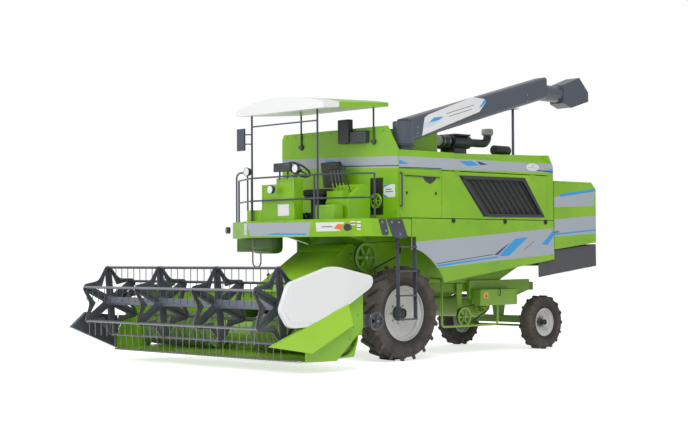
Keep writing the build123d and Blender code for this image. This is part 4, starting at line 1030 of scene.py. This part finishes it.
def cushion(size, at, lean=0.0, puff=0.012):
    """A crowned pad: a rounded block swollen under its cover, with two sewn channels."""
    pad = block(size)
    whole()
    bpy.ops.mesh.bevel(offset=min(size) * 0.32, segments=5, profile=0.6)
    bpy.ops.mesh.subdivide(number_cuts=1)
    bpy.ops.object.mode_set(mode="OBJECT")
    modify(pad, "REMESH", mode="VOXEL", voxel_size=0.012)
    half = [v / 2 for v in size]
    for vertex in pad.data.vertices:
        x, y, z = vertex.co
        u, v = abs(x) / half[0], abs(y) / half[1]
        crown = (1 - u ** 2.6) * (1 - v ** 2.6)
        channel = sum(math.exp(-((x - k * half[0] * 0.36) / 0.008) ** 2) for k in (-1, 1))
        waist = 1 - 0.028 * (1 - min(1, abs(z) / half[2]) ** 2)
        rise = puff * crown - 0.008 * channel * (v < 0.86) if z > 0 else 0
        vertex.co = (x * waist, y * waist, z + rise)
    pad.data.transform(Matrix.Translation(at) @ Matrix.Rotation(lean, 4, "X"))
    bpy.ops.object.shade_smooth()
    return pad


pad = settle(cushion((0.46, 0.44, 0.100), (0.10, -1.15, 2.612)), "seat_pad", vinyl)
back = settle(cushion((0.43, 0.41, 0.080), (0.10, -0.925, 2.905), math.radians(100)), "back_pad", vinyl)
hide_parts("seat_cushion")
dress(slate, "seat_base")

# ---------------------------------------------------------------- lamps
# Round sealed work lamps with black bezels at the front, and a red and an amber lamp with
# ribbed lenses at each rear corner.
glass = Finish("lamp glass", coat_weight=0.6, coat_roughness=0.03)
pane = glass.noise(30, 2)
glass.set(base_color=glass.mix(1 - glass.y.above(-2.004), (0.03, 0.03, 0.035), (0.8, 0.82, 0.84)),
          roughness=pane * 0.1 + 0.12)
dress(glass, "lamps")
bpy.ops.mesh.primitive_torus_add(major_radius=0.067, minor_radius=0.006, major_segments=36, minor_segments=8)
bezel = bpy.context.object
select(bezel, lambda centre, normal: centre.z > 0)
bpy.ops.transform.resize(value=(0.97, 0.97, 1))
spots = [facing((x, -2.006, z), FORWARD) for x, z in ((-0.73, 2.95), (0.43, 2.95), (-0.16, 2.65))]
settle(repeat(bezel, spots), "lamp_bezels", black_enamel)


def lens_finish(name, deep, bright):
    """Clear plastic over fine crossed ribs."""
    finish = Finish(name, "lamp_glass", roughness=0.12, coat_weight=0.5, coat_roughness=0.03)
    ribs = ((finish.x * 900).math("SINE") | (finish.z * 900).math("SINE")).above(0.2, 1.2)
    finish.set(base_color=finish.mix(ribs, deep, bright))
    finish.bump(ribs, 0.0006)
    return finish


for name, z, deep, bright in (("brake_lamps", 2.06, (0.25, 0.004, 0.004), (0.50, 0.012, 0.010)),
                              ("turn_lamps", 2.19, (0.50, 0.13, 0.004), (0.80, 0.25, 0.01))):
    rear_lens = disc(0.048, 0.016, (0, 0, 0.008))
    select_side(rear_lens, UP)
    bpy.ops.mesh.bevel(offset=0.005, segments=3)
    bpy.ops.mesh.inset(thickness=0.006)
    push((0, 0, 0.003))
    settle(repeat(rear_lens, [facing((x, 4.2205, z), BACKWARD) for x in (-1.18, 1.18)]), name,
           lens_finish(name.replace("_", " "), deep, bright))

# ---------------------------------------------------------------- unloading auger
# Rolled steel tube stowed along the left side, bolted at its elbow and rest, in slate enamel
# with one long printed plate.
auger_enamel = enamel("auger enamel", (0.075, 0.09, 0.115), SLATE, 0.34, 0.1)
dress(auger_enamel, "unloading_auger")
starts = [(BESIDE, y, z) for y, z in ((-0.25, 3.52), (-0.25, 3.62), (2.40, 4.20), (2.40, 4.30))]
bolts("auger_bolts", "unloading_auger", starts, RIGHT, zinc, "unloader")
plate_x = skin("unloading_auger", (BESIDE, 0.6, 3.86), RIGHT)[0].x
printed("auger_plate", [(-0.129, 3.59), (-0.091, 3.775), (0.0, 3.83), (1.225, 4.165), (1.33, 4.16),
                        (1.362, 4.125), (1.20, 3.95), (1.15, 3.93)], plate_x, LEFT, [
    ((0.60, 0.70, 0.78), [(-0.12, 3.60), (0.10, 3.655), (0.42, 3.83), (0.02, 3.72), (-0.10, 3.69)]),
    (BLUE, [(0.0, 3.70), (0.23, 3.755), (0.34, 3.82), (0.12, 3.79)]),
    (RED, [(0.18, 3.765), (0.24, 3.78), (0.30, 3.81), (0.25, 3.80)]),
    (GRAPHITE, [(0.40, 3.86), (1.05, 4.04), (1.06, 4.052), (0.41, 3.872)]),
    (GRAPHITE, [(0.46, 3.82), (1.00, 3.97), (1.01, 3.982), (0.47, 3.832)]),
    (BLUE, [(1.18, 4.00), (1.25, 4.03), (1.37, 4.13), (1.33, 4.165), (1.30, 4.14)])],
        "y", 0.003, 0.001, body="unloader")

# ---------------------------------------------------------------- header
# Welded and enamelled table with pointed crop dividers at its ends. Knife guards are forged
# and cylinder rods chromed, so both are bare steel.
steel = mottled("worn steel", None, (0.28, 0.28, 0.28), (0.5, 0.5, 0.5),
                (35, 5, (1, 6, 6)), (0.25, 0.55), metallic=0.85)
dress(steel, "cutter_bar", "lift_rods", "reel_rods")
dress(enamel("header enamel", (0.25, 0.52, 0.012), LIME_DEEP, 0.3, 0.3, dust_top=0.5), "header_frame")
shield_enamel = enamel("shield enamel", (0.36, 0.64, 0.02), (0.30, 0.58, 0.015), 0.28, 0.15, dust_top=0.6)
shield_enamel.over(1 - shield_enamel.x.above(2.243), SLATE)
dress(shield_enamel, "divider_left")
for s, side, _, inward in SIDES:
    bolts(f"end_sheet_bolts_{side}", "header_frame",
          spaced((s * OUTSIDE, -2.60, 0.45), (s * OUTSIDE, -2.36, 0.95), 4), inward, zinc, "header",
          radius=0.010)

# ---------------------------------------------------------------- table auger and reel
# Welded drum with flighting scoured bright along its edges, and a slate reel whose bars hang
# between pressed star plates. A pulley on the left end sheet drives it.
AUGER_AXIS = (-2.71, 0.5)    # as (Y, Z)
REEL_AXIS = (-3.68, 0.94)
flight_enamel = enamel("flight enamel", LIME_DEEP, (0.13, 0.32, 0.01), 0.38, 0.3)
flight_enamel.over(radius_about(flight_enamel, *AUGER_AXIS).above(0.255, 0.02), (0.30, 0.30, 0.29))
dress(flight_enamel, "table_auger")
reel_enamel = enamel("reel enamel", (0.055, 0.067, 0.088), SLATE_DEEP, 0.36, 0.2, slot="slate_paint")
middle = radius_about(reel_enamel, *REEL_AXIS)
reel_enamel.over(1 - middle.above(0.085), (0.13, 0.15, 0.19))
reel_enamel.over(middle.above(0.535, 0.01) | (1 - reel_enamel.z.above(0.41, 0.01)), (0.20, 0.21, 0.23))
dress(reel_enamel, "reel")
STAR_R = 0.52
# a disc drawn in between its six arms, with a kite-shaped window beside each arm
bpy.ops.mesh.primitive_circle_add(vertices=144, radius=1, fill_type="NGON")
star = bpy.context.object
for vertex in star.data.vertices:
    turn = math.degrees(math.atan2(vertex.co.y, vertex.co.x)) % 60
    reach = STAR_R * (0.76 + 0.285 * min(1, abs(turn - 30) / 26) ** 1.8)
    vertex.co = vertex.co.normalized() * reach
modify(star, "SOLIDIFY", thickness=0.014, offset=0)
for k in range(6):
    bpy.ops.mesh.primitive_circle_add(vertices=4, radius=1, fill_type="NGON")
    window = bpy.context.object
    for vertex, (far, turn) in zip(window.data.vertices, ((0.82, 8), (0.53, 30), (0.82, 52), (0.25, 30))):
        angle = math.radians(turn + 60 * k)
        vertex.co = (far * STAR_R * math.cos(angle), far * STAR_R * math.sin(angle), -0.05)
    whole()
    push((0, 0, 0.1))
    whole()
    bpy.ops.mesh.normals_make_consistent(inside=False)
    bpy.ops.object.mode_set(mode="OBJECT")
    bpy.ops.object.select_all(action="DESELECT")
    bpy.context.view_layer.objects.active = star
    modify(star, "BOOLEAN", object=window, solver="EXACT")
    bpy.data.objects.remove(window)
modify(star, "BEVEL", width=0.002, segments=2)
upright = Matrix(((0, 0, 1, 0), (1, 0, 0, 0), (0, 1, 0, 0), (0, 0, 0, 1)))
turned = upright @ Matrix.Rotation(math.radians(95), 4, "Z")
spots = [Matrix.Translation((x, *REEL_AXIS)) @ turned for x in (-2.038, -0.683, 0.683, 2.038)]
settle(repeat(star, spots), "reel_spiders", reel_enamel, "reel")
DRIVE = (-2.11, 0.69)
pulley("drive_pulley", (2.270, *DRIVE), LEFT, 0.132, 0.036, 5, 0.032, slate, "header")
settle(pipe([(2.20, *DRIVE), (2.325, *DRIVE)], 0.016), "drive_shaft", zinc, "header")
settle(cut_plate([(-2.56, 0.56), (-2.07, 0.645), (-2.07, 0.735), (-2.56, 0.86)], 2.212, LEFT, 0.03, 0.004),
       "drive_bracket", slate, "header")

# ---------------------------------------------------------------- curtain
# Three flaps of 5 mm rubber sheet, bolted under the straw hood's lower edge to keep the straw
# on its swath. They hang free and wave a little.
flap_rubber = mottled("flap rubber", "flap_rubber", (0.05, 0.053, 0.06), (0.09, 0.095, 0.105),
                      (3, 4), (0.55, 0.75), (200, 3, 0.0006))
HANG = 1.80                  # height of the line that the flaps are bolted along
flaps = []
# where a flap starts, as (X, Y), which way it runs, its length, and its lower edge's height
# and its upper edge's at the start and at the end
for start, across, length, low_a, low_b, top_a, top_b in (
        ((1.318, 2.67), BACKWARD, 1.58, 1.24, 1.42, 1.66, HANG),
        ((-1.318, 2.67), BACKWARD, 1.58, 1.24, 1.42, 1.66, HANG),
        ((-1.31, 4.238), LEFT, 2.62, 1.42, 1.42, HANG, HANG)):
    bpy.ops.mesh.primitive_grid_add(x_subdivisions=60, y_subdivisions=24, size=1)
    flap = bpy.context.object
    flap.scale = (length, 1, 1)
    bpy.ops.object.transform_apply()
    for vertex in flap.data.vertices:
        run, down = vertex.co.x / length + 0.5, 0.5 - vertex.co.y
        low = low_a + (low_b - low_a) * run
        top = top_a + (top_b - top_a) * run
        # the free edge waves, more so lower down, where nothing holds it
        wave = (0.007 * math.sin(run * length * 9.4) + 0.004 * math.sin(run * length * 23 + 1)) * down ** 1.4
        x = start[0] + across[0] * run * length + across[1] * wave
        y = start[1] + across[1] * run * length + across[0] * wave
        vertex.co = (x, y, top + (low - top) * down)
    modify(flap, "SOLIDIFY", thickness=0.005, offset=0)
    smooth()
    flaps.append(flap)
curtain = settle(join(flaps), "hung_curtain", flap_rubber)
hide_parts("straw_curtain")
dress(flap_rubber, "straw_curtain")
